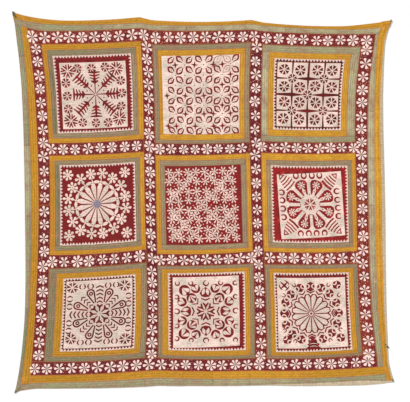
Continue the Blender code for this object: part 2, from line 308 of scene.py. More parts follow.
def cotton(name, dyes, rim, rim_share=0.5, wander=None, dots=None, pucker=0.8, sheen=0.08):
    """Plain-woven cotton. `dyes` are its colours from 0 to 1 of `dye`, `rim` is the colour at
    turned edges, partly painted seam shade where it is darker, `wander` a second colour that the cloth drifts
    to, and `dots` the size, pitch and colours of printed dots."""
    material = bpy.data.materials.new(name)
    material.use_nodes = True
    tree = material.node_tree
    node = partial(add, tree)
    cloth = node("ShaderNodeUVMap", uv_map="cloth")
    dye, edge = (node("ShaderNodeAttribute", attribute_name=part).outputs["Fac"] for part in ("dye", "edge"))

    colour = node("ShaderNodeValToRGB", [dye])
    stops = colour.color_ramp.elements
    for number, hex_colour in enumerate(dyes):
        stop = stops[number] if number < 2 else stops.new(1.0)
        stop.position = number / (len(dyes) - 1)
        stop.color = linear(hex_colour)

    # The dye drifts to a second colour in patches a hand wide.
    if wander:
        patches = node("ShaderNodeTexNoise", {"Vector": cloth, "Scale": 16.0, "Detail": 3.0})
        drift = node("ShaderNodeMapRange", (patches, 0.42, 0.66, 0.0, 0.85))
        mixed = {"Factor": drift, 6: colour, 7: linear(wander)}
        colour = node("ShaderNodeMix", mixed, data_type="RGBA").outputs[2]

    # Thick and thin yarns run along the cloth, and the dye takes unevenly: both move the colour up and down.
    stretched = node("ShaderNodeMapping", {"Vector": cloth, "Scale": (28.0, 420.0, 1.0)})
    yarns = node("ShaderNodeTexNoise", {"Vector": stretched, "Scale": 1.0, "Detail": 2.0})
    takes = node("ShaderNodeTexNoise", {"Vector": cloth, "Scale": 95.0, "Detail": 4.0})
    both = node("ShaderNodeMath", (yarns, takes), operation="ADD")
    tone = node("ShaderNodeMapRange", (both, 0.7, 1.3, 0.74, 1.26))
    colour = node("ShaderNodeVectorMath", {0: colour, "Scale": tone}, operation="SCALE")

    # Dots print one in each cell of a scatter, in a colour between the two given.
    if dots:
        size, pitch, dot_colours = dots
        cells = node("ShaderNodeTexVoronoi", {"Vector": cloth, "Scale": 1 / (pitch * MM)})
        inside = node("ShaderNodeMapRange", (cells, 0.6 * size / pitch, 0.4 * size / pitch, 0.0, 0.85))
        which = node("ShaderNodeValToRGB", [cells.outputs["Color"]])
        for stop, hex_colour in zip(which.color_ramp.elements, dot_colours):
            stop.color = linear(hex_colour)
        mixed = {"Factor": inside, 6: colour, 7: which}
        colour = node("ShaderNodeMix", mixed, data_type="RGBA").outputs[2]

    # Towards a turned edge the colour goes to `rim`. Where that is darker than the cloth, as on the sages and
    # the red, it is partly painted shade of the seam.
    near = node("ShaderNodeMath", (edge, rim_share), operation="MULTIPLY")
    mixed = {"Factor": near, 6: colour, 7: linear(rim)}
    colour = node("ShaderNodeMix", mixed, data_type="RGBA").outputs[2]

    # Relief: the two sets of threads, then the valleys that rows of running stitch pull into the cloth.
    bands = {"Vector": cloth, "Scale": BAND_PITCH / (THREAD_PITCH * MM)}
    both_ways = [node("ShaderNodeTexWave", bands, bands_direction=way).outputs["Fac"] for way in "XY"]
    threads = node("ShaderNodeMath", both_ways, operation="MULTIPLY")
    woven = node("ShaderNodeBump", {"Height": threads, "Strength": 0.5, "Distance": THREAD_DEPTH})
    across = node("ShaderNodeSeparateXYZ", [cloth]).outputs["Y"]
    turns = node("ShaderNodeMath", (across, pi / (ROW_PITCH * MM)), operation="MULTIPLY")
    row = node("ShaderNodeMath", [turns], operation="COSINE")
    valley = node("ShaderNodeMath", [row], operation="ABSOLUTE")
    puckers = node("ShaderNodeTexNoise", {"Vector": cloth, "Scale": 130.0, "Detail": 2.0})
    quilted = node("ShaderNodeMath", (valley, puckers), operation="ADD")
    stitched = {"Height": quilted, "Strength": pucker, "Distance": VALLEY_DEPTH, "Normal": woven}
    relief = node("ShaderNodeBump", stitched)

    dull = {"Roughness": 0.88, "Metallic": 0.0, "IOR": 1.5, "Specular IOR Level": 0.25}
    fuzz = {"Sheen Weight": sheen, "Sheen Roughness": 0.5}
    fill(tree, tree.nodes["Principled BSDF"], {"Base Color": colour, "Normal": relief, **dull, **fuzz})
    print("material:", name)
    return material


# %% The quilt's cottons
# Ochre is a thin hand-dyed cotton. Its edges are redder, where the red beside it has bled in the wash.
OCHRE = cotton("ochre hand-dyed cotton", ("#B4801C", "#CB9226", "#E0A632"), "#DA8A3A", 0.6, "#C48A2E")
# Sage began as one green. Sun and washing took it towards olive and tan, and its edges are browner: partly
# a brown tint, partly painted shade of the seams.
SAGES = ("#6F7054", "#858A66", "#969670", "#A8A077", "#C0B38C")
SAGE = cotton("sage hand-dyed cotton", SAGES, "#8E6A56", 0.6, "#A2846A")
# The blocks' frames are cut from an older sage, browned by the red that it was washed with. Its darker
# edges are partly painted shade of the seams.
OLIVES = ("#716950", "#877F5B", "#988564", "#AA956C", "#C0A682")
OLIVE = cotton("browned sage cotton", OLIVES, "#8C6450", 0.6, "#9C7A62")
# Turkey red is dyed deep and evenly, and the ground under each block comes from another length of it. Near
# the cream cloth it is painted darker, as shade cast by that cloth, and its darker rim at the seams is
# painted shade.
REDS = ("#4C201B", "#621F1C", "#801E20", "#A42221", "#BE4A44")
RED = cotton("turkey red cotton", REDS, "#642420", 0.3, "#802422", sheen=0.0)
# The sashes are block-printed: tiny spots on maroon, on purple-red and on brick.
SPOTS = (4.6, 10.5, ("#DE8C58", "#EFC8B8"))
PRINTED = ("#5C1A24", "#7C2626", "#9C3C28")
PRINT = cotton("block-printed sash cotton", PRINTED, "#B0642F", 0.6, "#6C2028", SPOTS, sheen=0.0)
# Cream muslin is greyer in the middle of a cloth, and flecked with grey specks for its fine stitches: partly
# the stitches, partly painted shade in their dimples. It is pinker at its cut edges, which lie on the red.
SPECKS = (3.8, 10.5, ("#8E9084", "#BFB4A8"))
CREAM = cotton("cream muslin", ("#B2A597", "#D8C5B7", "#FADED0"), "#F4CCBE", 0.6, "#C9BEAC", SPECKS, 0.4)
# The small flowers are cut from a finer cream. Dye 0, at a flower's heart, is the red showing through.
FLOWER = cotton("cream appliqué cotton", ("#625A5C", "#DCC8BD", "#FFE4DA"), "#F8D2C6", 0.3, pucker=0.3)
# The backing never sees the sun, so it is one even beige. The lavender is the only bought cloth.
BACKING = cotton("beige backing cotton", ("#C0AE92", "#CBB798", "#D6C5AA"), "#C2B094", 0.4, "#C6B596")
LAVENDER = cotton("lavender cotton", ("#827888", "#8E8494", "#9C92A0"), "#8A7C86", 0.4)
# Threads are too thin to pucker. They are spun from the same cotton, so they share its dull surface.
GOLD_THREAD = cotton("golden sewing thread", ("#A8772A", "#B5832C", "#C2903A"), "#B5832C", 0.0, pucker=0.0)
DARK_THREAD = cotton("dark green thread", ("#4A5036", "#5A6142", "#6A7250"), "#5A6142", 0.0, pucker=0.0)
PALE_THREAD = cotton("pale sewing thread", ("#B9B08A", "#C6BE9C", "#D0C8AA"), "#C6BE9C", 0.0, pucker=0.0)

# %% [markdown]
# ## The camera, the light and the floor
# The quilt is seen from straight above, from far enough away that its edges show no perspective. Cloth
# looks flat in even light, so most of the light is a plain white sky and the rest is a soft sun low on
# the left, which picks out the ripples and seams and lights both ends of the quilt alike.

# %% Camera, light and floor
# The picture is 410 by 402 pixels, and this many metres of the surface fit across it.
VIEW_WIDTH, VIEW_X, VIEW_Y = 2.173, 0.01113, 0.00954
CAMERA_HEIGHT, SENSOR = 6.0, 36.0
FLOOR_HALF, FLOOR_DROP = 8.0, 0.5 * MM
SQUARE = ((-1, -1), (1, -1), (1, 1), (-1, 1))
scene = bpy.context.scene
scene.view_settings.view_transform = "Standard"


def shown(name, data):
    """A new object, linked into the scene."""
    thing = bpy.data.objects.new(name, data)
    scene.collection.objects.link(thing)
    return thing


camera = shown("camera", bpy.data.cameras.new("camera"))
camera.data.sensor_width = SENSOR
camera.data.lens = SENSOR * CAMERA_HEIGHT / VIEW_WIDTH
camera.location = (VIEW_X, VIEW_Y, CAMERA_HEIGHT)
scene.camera = camera

sky = bpy.data.worlds.new("white sky")
sky.use_nodes = True
fill(sky.node_tree, sky.node_tree.nodes["Background"], {"Color": (1.0, 1.0, 1.0, 1.0), "Strength": 0.62})
scene.world = sky

lamp = shown("soft sun", bpy.data.lights.new("soft sun", "SUN"))
lamp.data.angle = radians(18)
lamp.data.energy = 2.3
lamp.rotation_euler = Vector((3.6, -2.6, -3.2)).to_track_quat("-Z", "Y").to_euler()

paint = bpy.data.materials.new("matt white floor paint")
paint.use_nodes = True
matt = {"Base Color": linear("#FCFCFC"), "Roughness": 1.0, "Specular IOR Level": 0.0}
fill(paint.node_tree, paint.node_tree.nodes["Principled BSDF"], matt)
floor_mesh = bpy.data.meshes.new("floor")
corners = [(u * FLOOR_HALF, v * FLOOR_HALF, -FLOOR_DROP) for u, v in SQUARE]
floor_mesh.from_pydata(corners, [], [(0, 1, 2, 3)])
floor_mesh.materials.append(paint)
floor = shown("floor", floor_mesh)
print("lens:", round(camera.data.lens, 1), "mm")

# %% [markdown]
# ## One cloth
# Each cloth is drafted as flat outlines with a fine grid inside, and then closed into a thin body. Its top
# turns down at its edges, where the raw edge is folded under and sewn, and that rounding is what makes a
# seam show. A Solidify modifier would give the thickness too, but not the turned edge, and the layers here
# must keep their distance from each other, so the top, the underside and the walls are made together.

# %% A cloth on the plan, and how it becomes a piece
# points: (u, v). tops: height of each point above the cloth's underside. faces: anticlockwise. weave:
# (along, across) of each point. dyes: one for each face, its dye with any painted shade. edges: 1
# where the edge is turned under, else 0.
Cloth = namedtuple("Cloth", "points tops faces weave dyes edges")
# Seams are where two faces meet at more than this.
SHARP = radians(50)


def joined(cloths):
    """Several cloths as one."""
    starts = np.cumsum([0] + [len(cloth.points) for cloth in cloths])
    faces = [[i + start for i in face] for cloth, start in zip(cloths, starts) for face in cloth.faces]
    return Cloth(*(np.concatenate(part) for part in zip(*cloths)))._replace(faces=faces)


def outer_sides(faces):
    """The sides of faces that no other face shares, as (start, end, face), each with its face on the left."""
    sides = {(a, b): f for f, face in enumerate(faces) for a, b in zip(face, [*face[1:], face[0]])}
    return [(a, b, f) for (a, b), f in sides.items() if (b, a) not in sides]


def marked(mesh, dyes, edges, weave):
    """Gives a mesh the two attributes and the UV map that the cottons read."""
    mesh.attributes.new("dye", "FLOAT", "FACE").data.foreach_set("value", dyes)
    mesh.attributes.new("edge", "FLOAT", "POINT").data.foreach_set("value", edges)
    points = np.empty(len(mesh.loops), np.int32)
    mesh.loops.foreach_get("vertex_index", points)
    mesh.uv_layers.new(name="cloth").data.foreach_set("uv", (weave[points] * MM).ravel())
    return mesh


def body(name, cloth, under=0.0):
    """A cloth as a closed mesh on the plan, `under` millimetres above the quilt's underside."""
    count, faces = len(cloth.points), cloth.faces
    rims = outer_sides(faces)
    low = np.column_stack([cloth.points, np.full(count, under)])
    high = np.column_stack([cloth.points, cloth.tops + under])
    floors = [[i + count for i in reversed(face)] for face in faces]
    walls = [(a + count, b + count, b, a) for a, b, _ in rims]
    mesh = bpy.data.meshes.new(name)
    mesh.from_pydata(np.concatenate([high, low]) * MM, [], [*faces, *floors, *walls])
    dyes = np.concatenate([cloth.dyes, cloth.dyes, cloth.dyes[[f for _, _, f in rims]]])
    return marked(mesh, dyes, np.tile(cloth.edges, 2), np.tile(cloth.weave, (2, 1)))


def finished(name, mesh, material):
    """Lays a mesh that is still on the plan, and makes it a piece of the quilt."""
    lay(mesh)
    mesh.validate()
    mesh.materials.clear()
    mesh.materials.append(material)
    mesh.shade_smooth()
    mesh.set_sharp_from_angle(angle=SHARP)
    return shown(name, mesh)


def closed(name, cloth, under, material):
    """A cloth as a finished piece of the quilt."""
    return finished(name, body(name, cloth, under), material)


# %% A strip of cloth, pieced from lengths
# The grid's pitch, on the patchwork and on the backing. At an edge the top turns down by DIP over the last
# ROLL millimetres, with one more grid line at TURN.
STEP, BACKING_STEP = 9.0, 15.0
TURN, ROLL, DIP = 2.2, 6.5, 0.85


def cut_lines(start, end, joins=(), step=STEP):
    """Grid lines from start to end, closer together where the cloth turns down: at both ends and at joins."""
    stops = [start, *joins, end]
    found = [start]
    for a, b in zip(stops, stops[1:]):
        # A narrow length has no room for two turned-down stretches and a flat one between them.
        turned = [TURN, ROLL] if b - a > 2.5 * ROLL else [TURN]
        first, last = a + turned[-1], b - turned[-1]
        flat = max(round((last - first) / step), 1)
        found += [a + turn for turn in turned[:-1]]
        found += [first + (last - first) * k / flat for k in range(flat + 1)]
        found += [b - turn for turn in turned[-2::-1]]
        found.append(b)
    return np.array(found)


def strip(edges, lengths=((1.0, 0.5),), upright=False, thick=PATCH_THICK, step=STEP, gap=GAP):
    """A strip between four lines of the plan: left, right, low and top. Each of its lengths is the share
    of the run at which it ends, from the left or from the bottom, and its dye."""
    left, right, low, top = (edge + inwards * gap / 2 for edge, inwards in zip(edges, (1, -1, 1, -1)))
    start, end = (low, top) if upright else (left, right)
    joins = [start + (end - start) * share for share, _ in lengths[:-1]]
    us = cut_lines(left, right, () if upright else joins, step)
    vs = cut_lines(low, top, joins if upright else (), step)
    u, v = (grid.ravel() for grid in np.meshgrid(us, vs))
    run, across, wide = (v, u - left, right - left) if upright else (u, v - low, top - low)
    off = np.minimum.reduce([u - left, right - u, v - low, top - v, *[np.abs(run - join) for join in joins]])
    edges = np.clip(1 - off / ROLL, 0, 1)
    columns = len(us)
    i = (np.arange(len(vs) - 1)[:, None] * columns + np.arange(columns - 1)).ravel()
    faces = np.column_stack([i, i + 1, i + columns + 1, i + columns])
    dyes = np.array([dye for _, dye in lengths])[np.searchsorted(joins, run[faces].mean(axis=1))]
    rows = max(round(wide / ROW_PITCH), 1)
    weave = np.column_stack([run, across / wide * rows * ROW_PITCH])
    return Cloth(np.column_stack([u, v]), thick - DIP * edges**2, faces.tolist(), weave, dyes, edges)


# %% [markdown]
# ## Fitting a cloth to the model
# Every piece stands for one solid of the imported model, which it hides, and lies on the layer below. The
# size that it was cut to is measured on the plan, before anything is laid.

# %% One place that fits each piece to the model
made = []


def extent(edges):
    """How wide and how high a cloth is between its edges (left, right, low, top)."""
    left, right, low, top = edges
    return right - left, top - low


def flat_area(cloth):
    """The cloth's own flat area on the plan, in square metres."""
    total = 0.0
    for face in cloth.faces:
        x, y = cloth.points[face].T
        total += abs(np.dot(x, np.roll(y, -1)) - np.dot(y, np.roll(x, -1))) / 2
    return total * MM * MM


def declare(piece, node, flat, area, with_pieces=()):
    """Rides on the root with its pieces, hides the model's node that it replaces, and is counted as made."""
    for part in (piece, *with_pieces):
        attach(part, "root")
    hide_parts(node)
    size = tuple(side * MM for side in flat)
    area = min(area, size[0] * size[1])
    made.append(node)


# %% [markdown]
# ## The backing and the borders
# The backing is one plain cloth that shows as a thin beige rim. The borders are the first strips of
# patchwork: an ochre and a sage strip on every side. Fabric is never wasted, so each strip is pieced from
# lengths of whatever dye lot was left, and those joins are part of how it looks. The lengths on the left are
# also given lower dyes than those on the right: painted shade, for light that falls from the right. A colour
# ramp across the whole strip would be less work, but it has no seams.

# %% The backing
quilt_edges = (U["left edge"], U["right edge"], V["bottom edge"], V["top edge"])
whole_backing = strip(quilt_edges, thick=BACKING_THICK, step=BACKING_STEP, gap=0.0)
backing = closed("backing_cloth", whole_backing, 0.0, BACKING)
declare(backing, "backing", extent(quilt_edges), flat_area(whole_backing))
print("backing:", len(backing.data.polygons), "faces")

# %% The border strips: colour, the seams each lies between, and its lengths of cloth
# A length is the share of the strip at which it ends, from the left or from the bottom, and its dye. The
# dyes run lower towards the left: partly the lengths' own dye lots, partly painted shade for light from the
# right.
PATCH_UNDER = BACKING_THICK + LAYER_GAP
Strip = namedtuple("Strip", "name colour left right low top lengths")
STRIPS = (
    Strip("top_outer", OCHRE, "left edge", "right edge", "top strips", "top edge",
          ((0.27, 0.3), (0.52, 0.4), (0.78, 0.3), (1.0, 0.35))),
    Strip("top_inner", SAGE, "left edge", "right strips", "top sash edge", "top strips",
          ((0.24, 0.62), (0.47, 0.9), (0.74, 0.95), (1.0, 0.88))),
    Strip("right_outer", OCHRE, "right strips", "right rim", "bottom rim", "top strips",
          ((0.27, 0.3), (0.52, 0.7), (0.8, 0.85), (1.0, 0.6))),
    Strip("right_inner", SAGE, "right sash edge", "right strips", "low sash edge", "top sash edge",
          ((0.26, 0.72), (0.49, 0.93), (0.77, 1.0), (1.0, 0.92))),
    Strip("bottom_inner", OCHRE, "left sash edge", "right strips", "bottom strips", "low sash edge",
          ((0.24, 0.05), (0.51, 0.35), (0.76, 0.6), (1.0, 0.3))),
    Strip("bottom_outer", SAGE, "left strips", "right strips", "bottom rim", "bottom strips",
          ((0.33, 0.62), (0.52, 0.66), (0.76, 0.78), (1.0, 0.58))),
    Strip("left_outer", SAGE, "left edge", "left strips", "bottom rim", "top sash edge",
          ((0.23, 0.25), (0.49, 0.6), (0.684, 0.85), (0.741, 0.45), (0.93, 0.6), (1.0, 0.4))),
    Strip("left_inner", OCHRE, "left strips", "left sash edge", "bottom strips", "top sash edge",
          ((0.26, 0.05), (0.5, 0.2), (0.77, 0.45), (1.0, 0.3))),
)
stitch_rows = {OCHRE: [], SAGE: [], OLIVE: []}
# A row of stitches stops this far from the ends of its strip.
STITCH_END = 5


def rows_along(edges, upright):
    """The rows of running stitch along a strip, as the two ends of each."""
    left, right, low, top = edges
    start, end, near, far = (low, top, left, right) if upright else edges
    count = max(round((far - near) / ROW_PITCH), 1)
    for k in range(count):
        side = near + (far - near) * (k + 0.5) / count
        for along in (start + STITCH_END, end - STITCH_END):
            yield (side, along) if upright else (along, side)


for row in STRIPS:
    edges = (U[row.left], U[row.right], V[row.low], V[row.top])
    wide, high = extent(edges)
    cloth = strip(edges, row.lengths, high > wide)
    piece = closed(f"border_{row.name}_cloth", cloth, PATCH_UNDER, row.colour)
    declare(piece, f"border_{row.name}", (wide, high), flat_area(cloth))
    stitch_rows[row.colour] += rows_along(edges, high > wide)
print("border strips:", len(STRIPS))

# %% [markdown]
# ## The sashes
# The sashes are the printed strips between the blocks. Each carries a row of six- and seven-petalled
# flowers, cut from cream cloth and sewn on by hand, none of them quite alike. The flowers come later, when
# there is something to cut them out with.

# %% The sash strips, and the flowers that each will carry
# `count` flowers, the first and the last at so many millimetres from the left or from the top.
Sash = namedtuple("Sash", "name left right low top count first last lengths")
IN_LEFT, IN_RIGHT = U["left sash edge"], U["right sash edge"]
IN_LOW, IN_TOP = V["low sash edge"], V["top sash edge"]
SASHES = (
    Sash("top", IN_LEFT, IN_RIGHT, OUTER, IN_TOP, 28, 20, 1738, ((0.5, 0.7), (1.0, 0.55))),
    Sash("bottom", IN_LEFT, IN_RIGHT, IN_LOW, -OUTER, 28, 17, 1742, ((0.4, 0.3), (1.0, 0.45))),
    Sash("upright_1", IN_LEFT, -OUTER, -OUTER, OUTER, 24, 23, 1618, ((0.5, 0.4), (1.0, 0.6))),
    Sash("upright_2", -FAR, -NEAR, -OUTER, OUTER, 26, 20, 1631, ((0.45, 0.25), (1.0, 0.5))),
    Sash("upright_3", NEAR, FAR, -OUTER, OUTER, 24, 20, 1640, ((0.6, 0.5), (1.0, 0.3))),
    Sash("upright_4", OUTER, IN_RIGHT, -OUTER, OUTER, 24, 17, 1640, ((0.5, 0.8), (1.0, 0.6))),
    Sash("level_1_1", -OUTER, -FAR, NEAR, FAR, 8, 10, 468, ((1.0, 0.5),)),
    Sash("level_1_2", -NEAR, NEAR, NEAR, FAR, 8, 23, 461, ((1.0, 0.3),)),
    Sash("level_1_3", FAR, OUTER, NEAR, FAR, 9, 6, 497, ((1.0, 0.6),)),
    Sash("level_2_1", -OUTER, -FAR, -FAR, -NEAR, 8, 13, 472, ((1.0, 0.35),)),
    Sash("level_2_2", -NEAR, NEAR, -FAR, -NEAR, 9, 17, 497, ((1.0, 0.5),)),
    Sash("level_2_3", FAR, OUTER, -FAR, -NEAR, 8, 30, 494, ((1.0, 0.7),)),
)
sash_pieces = {}
for sash in SASHES:
    edges = sash[1:5]
    upright = sash.name.startswith("upright")
    cloth = strip(edges, sash.lengths, upright)
    piece = closed(f"sash_{sash.name}_cloth", cloth, PATCH_UNDER, PRINT)
    sash_pieces[sash.name] = piece, edges, upright, flat_area(cloth)
print("sashes:", len(SASHES), "with", sum(sash.count for sash in SASHES), "flowers to come")

# %% [markdown]
# ## The blocks' frames and red grounds
# Round every block run two frames, one ochre and one sage, each sewn from four strips that butt at the
# corners. The panel inside is turkey red, and the red shows through everything that is cut out of the
# cream cloth on top. One table gives the widths of each block, since no two were cut alike.

# %% Frames and grounds
# Widths go left, top, right, low, and so do the dyes of the frames' strips. Those dyes are lower on the
# left than on the right: partly the strips' own dye lots, partly painted shade for light from the right.
Block = namedtuple("Block", "outer_colour outer inner red turn ochre sage ground_dye")
BLOCKS = (
    Block(OCHRE, (22, 28, 26, 23), (27, 31, 27, 26), (30, 37, 31, 21), 0,
          (0.1, 0.35, 0.6, 0.5), (0.12, 0.3, 0.55, 0.5), 0.52),
    Block(OLIVE, (26, 27, 26, 18), (18, 30, 26, 29), (3, 3, 3, 3), 0,
          (0.5, 0.65, 0.75, 0.9), (0.45, 0.45, 0.6, 0.55), 0.5),
    Block(SAGE, (36, 37, 45, 31), (28, 31, 30, 33), (15, 16, 15, 15), 0,
          (0.7, 0.6, 0.75, 0.7), (1.0, 0.7, 0.88, 0.6), 0.15),
    Block(OCHRE, (26, 25, 23, 21), (27, 23, 25, 26), (18, 18, 18, 18), 0,
          (0.2, 0.4, 0.7, 0.45), (0.15, 0.48, 0.4, 0.35), 0.49),
    Block(OCHRE, (23, 25, 21, 21), (26, 29, 30, 26), (18, 18, 18, 18), 0,
          (0.5, 0.7, 0.75, 0.6), (0.58, 0.62, 0.58, 0.62), 0.6),
    Block(OCHRE, (25, 34, 21, 21), (24, 27, 22, 27), (40, 37, 28, 27), 3,
          (0.85, 0.85, 0.6, 0.75), (0.68, 0.5, 0.48, 0.55), 0.75),
    Block(OLIVE, (40, 27, 28, 28), (36, 28, 29, 27), (13, 14, 14, 13), 0,
          (0.15, 0.3, 0.32, 0.1), (0.2, 0.38, 0.42, 0.25), 0.11),
    Block(OLIVE, (21, 18, 22, 17), (32, 21, 25, 28), (25, 25, 32, 26), 0,
          (0.45, 0.4, 0.55, 0.4), (0.4, 0.52, 0.38, 0.3), 0.54),
    Block(OLIVE, (24, 21, 22, 15), (23, 23, 27, 20), (15, 26, 21, 19), 0,
          (0.35, 0.3, 0.5, 0.1), (0.4, 0.48, 0.32, 0.35), 0.45),
)


def drawn_in(edges, widths):
    """Edges (left, right, low, top) moved inwards by widths, which go left, top, right, low."""
    left, right, low, top = edges
    return left + widths[0], right - widths[2], low + widths[3], top - widths[1]


def sew_frame(number, ring, edges, widths, colour, dyes):
    """Four strips round a block, of which the top and the bottom one run the full width."""
    left, right, low, top = edges
    in_left, in_right, in_low, in_top = drawn_in(edges, widths)
    sides = (
        ((left, in_left, in_low, in_top), True),
        ((left, right, in_top, top), False),
        ((in_right, right, in_low, in_top), True),
        ((left, right, low, in_low), False),
    )
    cloth = joined([strip(side, ((1.0, dye),), upright) for (side, upright), dye in zip(sides, dyes)])
    length = sum(max(extent(side)) for side, _ in sides)
    area = flat_area(cloth)
    node = f"frame_{ring}_{number}"
    piece = closed(f"{node}_cloth", cloth, PATCH_UNDER, colour)
    declare(piece, node, (area / MM / length / MM, length), area)
    for side, upright in sides:
        stitch_rows[colour] += rows_along(side, upright)


panels, grounds = {}, {}
for number, block in enumerate(BLOCKS, 1):
    row, column = divmod(number - 1, 3)
    left, right = BLOCK_EDGES[2 * column : 2 * column + 2]
    low, top = BLOCK_EDGES[4 - 2 * row : 6 - 2 * row]
    outer = (left, right, low, top)
    inner = drawn_in(outer, block.outer)
    panels[number] = drawn_in(inner, block.inner)
    first, second = (OCHRE, OLIVE) if block.outer_colour == OCHRE else (block.outer_colour, OCHRE)
    dyes = {OCHRE: block.ochre, OLIVE: block.sage, SAGE: block.sage}
    sew_frame(number, "outer", outer, block.outer, first, dyes[first])
    sew_frame(number, "inner", inner, block.inner, second, dyes[second])
    grounds[number] = strip(panels[number], ((1.0, block.ground_dye),))
print("blocks:", len(panels))

# %% [markdown]
# ## The patterns
# Each of the nine patterns is worked from a few snips that repeat round the middle: slits, leaves, drops,
# crescents, rosettes of seven wedges. They are written as outlines in millimetres from the middle of the
# cream cloth, and laid down one after another, to be cut out or kept. A hand strays from the drawing, so
# most of them are moved and turned by a little, with a fixed seed. A texture could carry the same patterns,
# but it would have no edges for the light to catch.

# %% Snips
CUT, KEEP = "cut", "keep"
hand = Random(7)


def shaky(size=1.0):
    """How far a hand strays from the drawing."""
    return hand.uniform(-size, size)


def turns(count):
    """The numbers and the directions, in degrees, of so many snips round the middle."""
    return [(k, 360 / count * k) for k in range(count)]


def put(shape, x=0.0, y=0.0, turn=0.0):
    """An outline turned clockwise by so many degrees, and moved."""
    c, s = cos(radians(turn)), sin(radians(turn))
    return [(x + u * c + v * s, y - u * s + v * c) for u, v in shape]


def out(shape, radius, turn, x=0.0, y=0.0, spin=0.0):
    """An outline set at a radius from the middle, its top facing outwards unless it is spun."""
    return put(put(shape, 0, radius, spin), x, y, turn)


def all_out(shapes, radius, turn, x=0.0, y=0.0, spin=0.0):
    """Several snips set at a radius together."""
    return [(kind, out(shape, radius, turn, x, y, spin)) for kind, shape in shapes]


def on_side(turn, along, far):
    """A place along one of a block's four sides, which face 0, 90, 180 and 270 degrees from the top."""
    return put([(along, far)], turn=turn)[0]


def mirrored(side):
    """A whole outline from its right half, which is listed from the bottom to the top."""
    return side + [(-u, v) for u, v in reversed(side) if u]


def disc(radius, sides=10):
    return [(radius * cos(2 * pi * k / sides), radius * sin(2 * pi * k / sides)) for k in range(sides)]


def leaf(low, high, width, steps=6, lean=1.0):
    """Pointed at both ends; with more lean it is rounder above and sharper below."""
    shares = [k / steps for k in range(steps + 1)]
    return mirrored([(width / 2 * sin(pi * share**lean), low + (high - low) * share) for share in shares])


def drop(low, high, width, foot):
    """Round above, and as narrow as its foot below."""
    radius = width / 2
    angles = [radians(-20 + 110 * k / 8) for k in range(8)]
    round_end = [(radius * cos(a), high - radius + radius * sin(a)) for a in angles]
    return mirrored([(foot / 2, low), *round_end, (0, high)])


def chevron(width, rise, thick):
    """A bent bar, its corner pointing up; a rise below nothing turns the corner down."""
    return mirrored([(0, 0), (width / 2, -rise), (width / 2, thick - rise), (0, thick)])


def horn(width, depth, thick, sweep=128):
    """A crescent open at the top, thick at the bottom and thin at its two ends."""
    shares = [k / 6 - 1 for k in range(13)]
    angles = [radians(sweep * share) for share in shares]
    outer = [(width / 2 * sin(a), -depth / 2 * cos(a)) for a in angles]
    thin = [thick * (1 - 0.65 * abs(share)) for share in shares]
    inner = [((width / 2 - t) * sin(a), -(depth / 2 - t) * cos(a)) for a, t in zip(angles, thin)]
    return outer + inner[::-1]


def star(radius, waist=5.0):
    """A star with four tips and hollow sides."""
    return [put([(0, (radius, waist)[k % 2])], turn=turn)[0] for k, turn in turns(8)]


def flower(side, petals):
    """A flower as one outline. A petal is given by its right half, which is listed from the heart out."""
    petal = [(-u, v) for u, v in side[:-1]] + side[::-1]
    return [point for _, turn in turns(petals) for point in put(petal, turn=turn)]


def spray(radius, petals=8, wide=0.21, core=0.3):
    """A flower with round petals, narrow at the heart."""
    side = ((0.3 * wide, core), (0.95 * wide, 0.72), (0.75 * wide, 0.93), (0, 1))
    return flower([(u * radius, v * radius) for u, v in side], petals)


def rosette(x, y, radius, notch=0.12, share=0.62, heart=0.2):
    """Seven wedges cut out round a heart, so that as many petals stay between them."""
    half = pi / 7 * share
    for k in range(7):
        far = radius * (1 + shaky(0.05))
        side = [(0, heart * far), (far * sin(half), 0.94 * far), (0.55 * far * sin(half), far)]
        wedge = mirrored([*side, (0, far * (1 - notch))])
        yield CUT, put(wedge, x, y, 180 / 7 * (2 * k + 1) + shaky(2))


def forked_star(x, y, inner, fork, outer, half=16):
    """Eight Y shapes round the middle, so that eight pointed petals stay between them."""
    side = [(1.6, inner), (3.6, fork), (half, outer - 5), (half - 4, outer), (0, fork + 12)]
    for _, turn in turns(8):
        yield CUT, put(mirrored(side), x, y, turn + shaky(1))


def whole(width, height):
    """The cream cloth before it is cut."""
    return KEEP, [(u * width / 2, v * height / 2) for u, v in SQUARE]


print("a leaf has", len(leaf(-10, 10, 5)), "points and a drop", len(drop(-10, 10, 5, 1)))

# %% [markdown]
# ### The first row
# Block 1 is a snowflake of eight branches inside a ring of small rosettes. Block 2 is a lattice of leaves
# with a star wherever four of them meet. Block 3 is sixteen rosettes in a grid of slits.

# %% Block 1
ROSETTES_1 = ((-131, 127), (122, 132), (128, -124), (-128, -127))
SMALL_1 = (
    (-79, 141), (-6, 140), (66, 141), (142, 70), (143, 4), (141, -64),
    (70, -142), (4, -144), (-66, -140), (-140, -68), (-142, 0), (-143, 66),
)


def branch(reach, barbs):
    """A stem with a leaf at its foot and pairs of barbs that grow longer and flatter outwards."""
    stem = [(0, 48), (3.5, 56), (19, 66), (17, 71), (5.5, 70), (4.5, 92), (2.5, reach), (0, reach)]
    yield CUT, mirrored(stem)
    for k in range(1, barbs):
        share = k / (barbs - 1)
        at = 62 + (reach - 66) * share
        half = 22 + 10 * share + shaky(2)
        rise = 9 * (1 - share) + shaky(1)
        for side in (-1, 1):
            barb = [(0, at - 7), (side * half, at + rise - 1), (side * (half - 1), at + rise + 2.6)]
            yield CUT, [*barb, (side * 8, at + 3), (0, at + 4)]


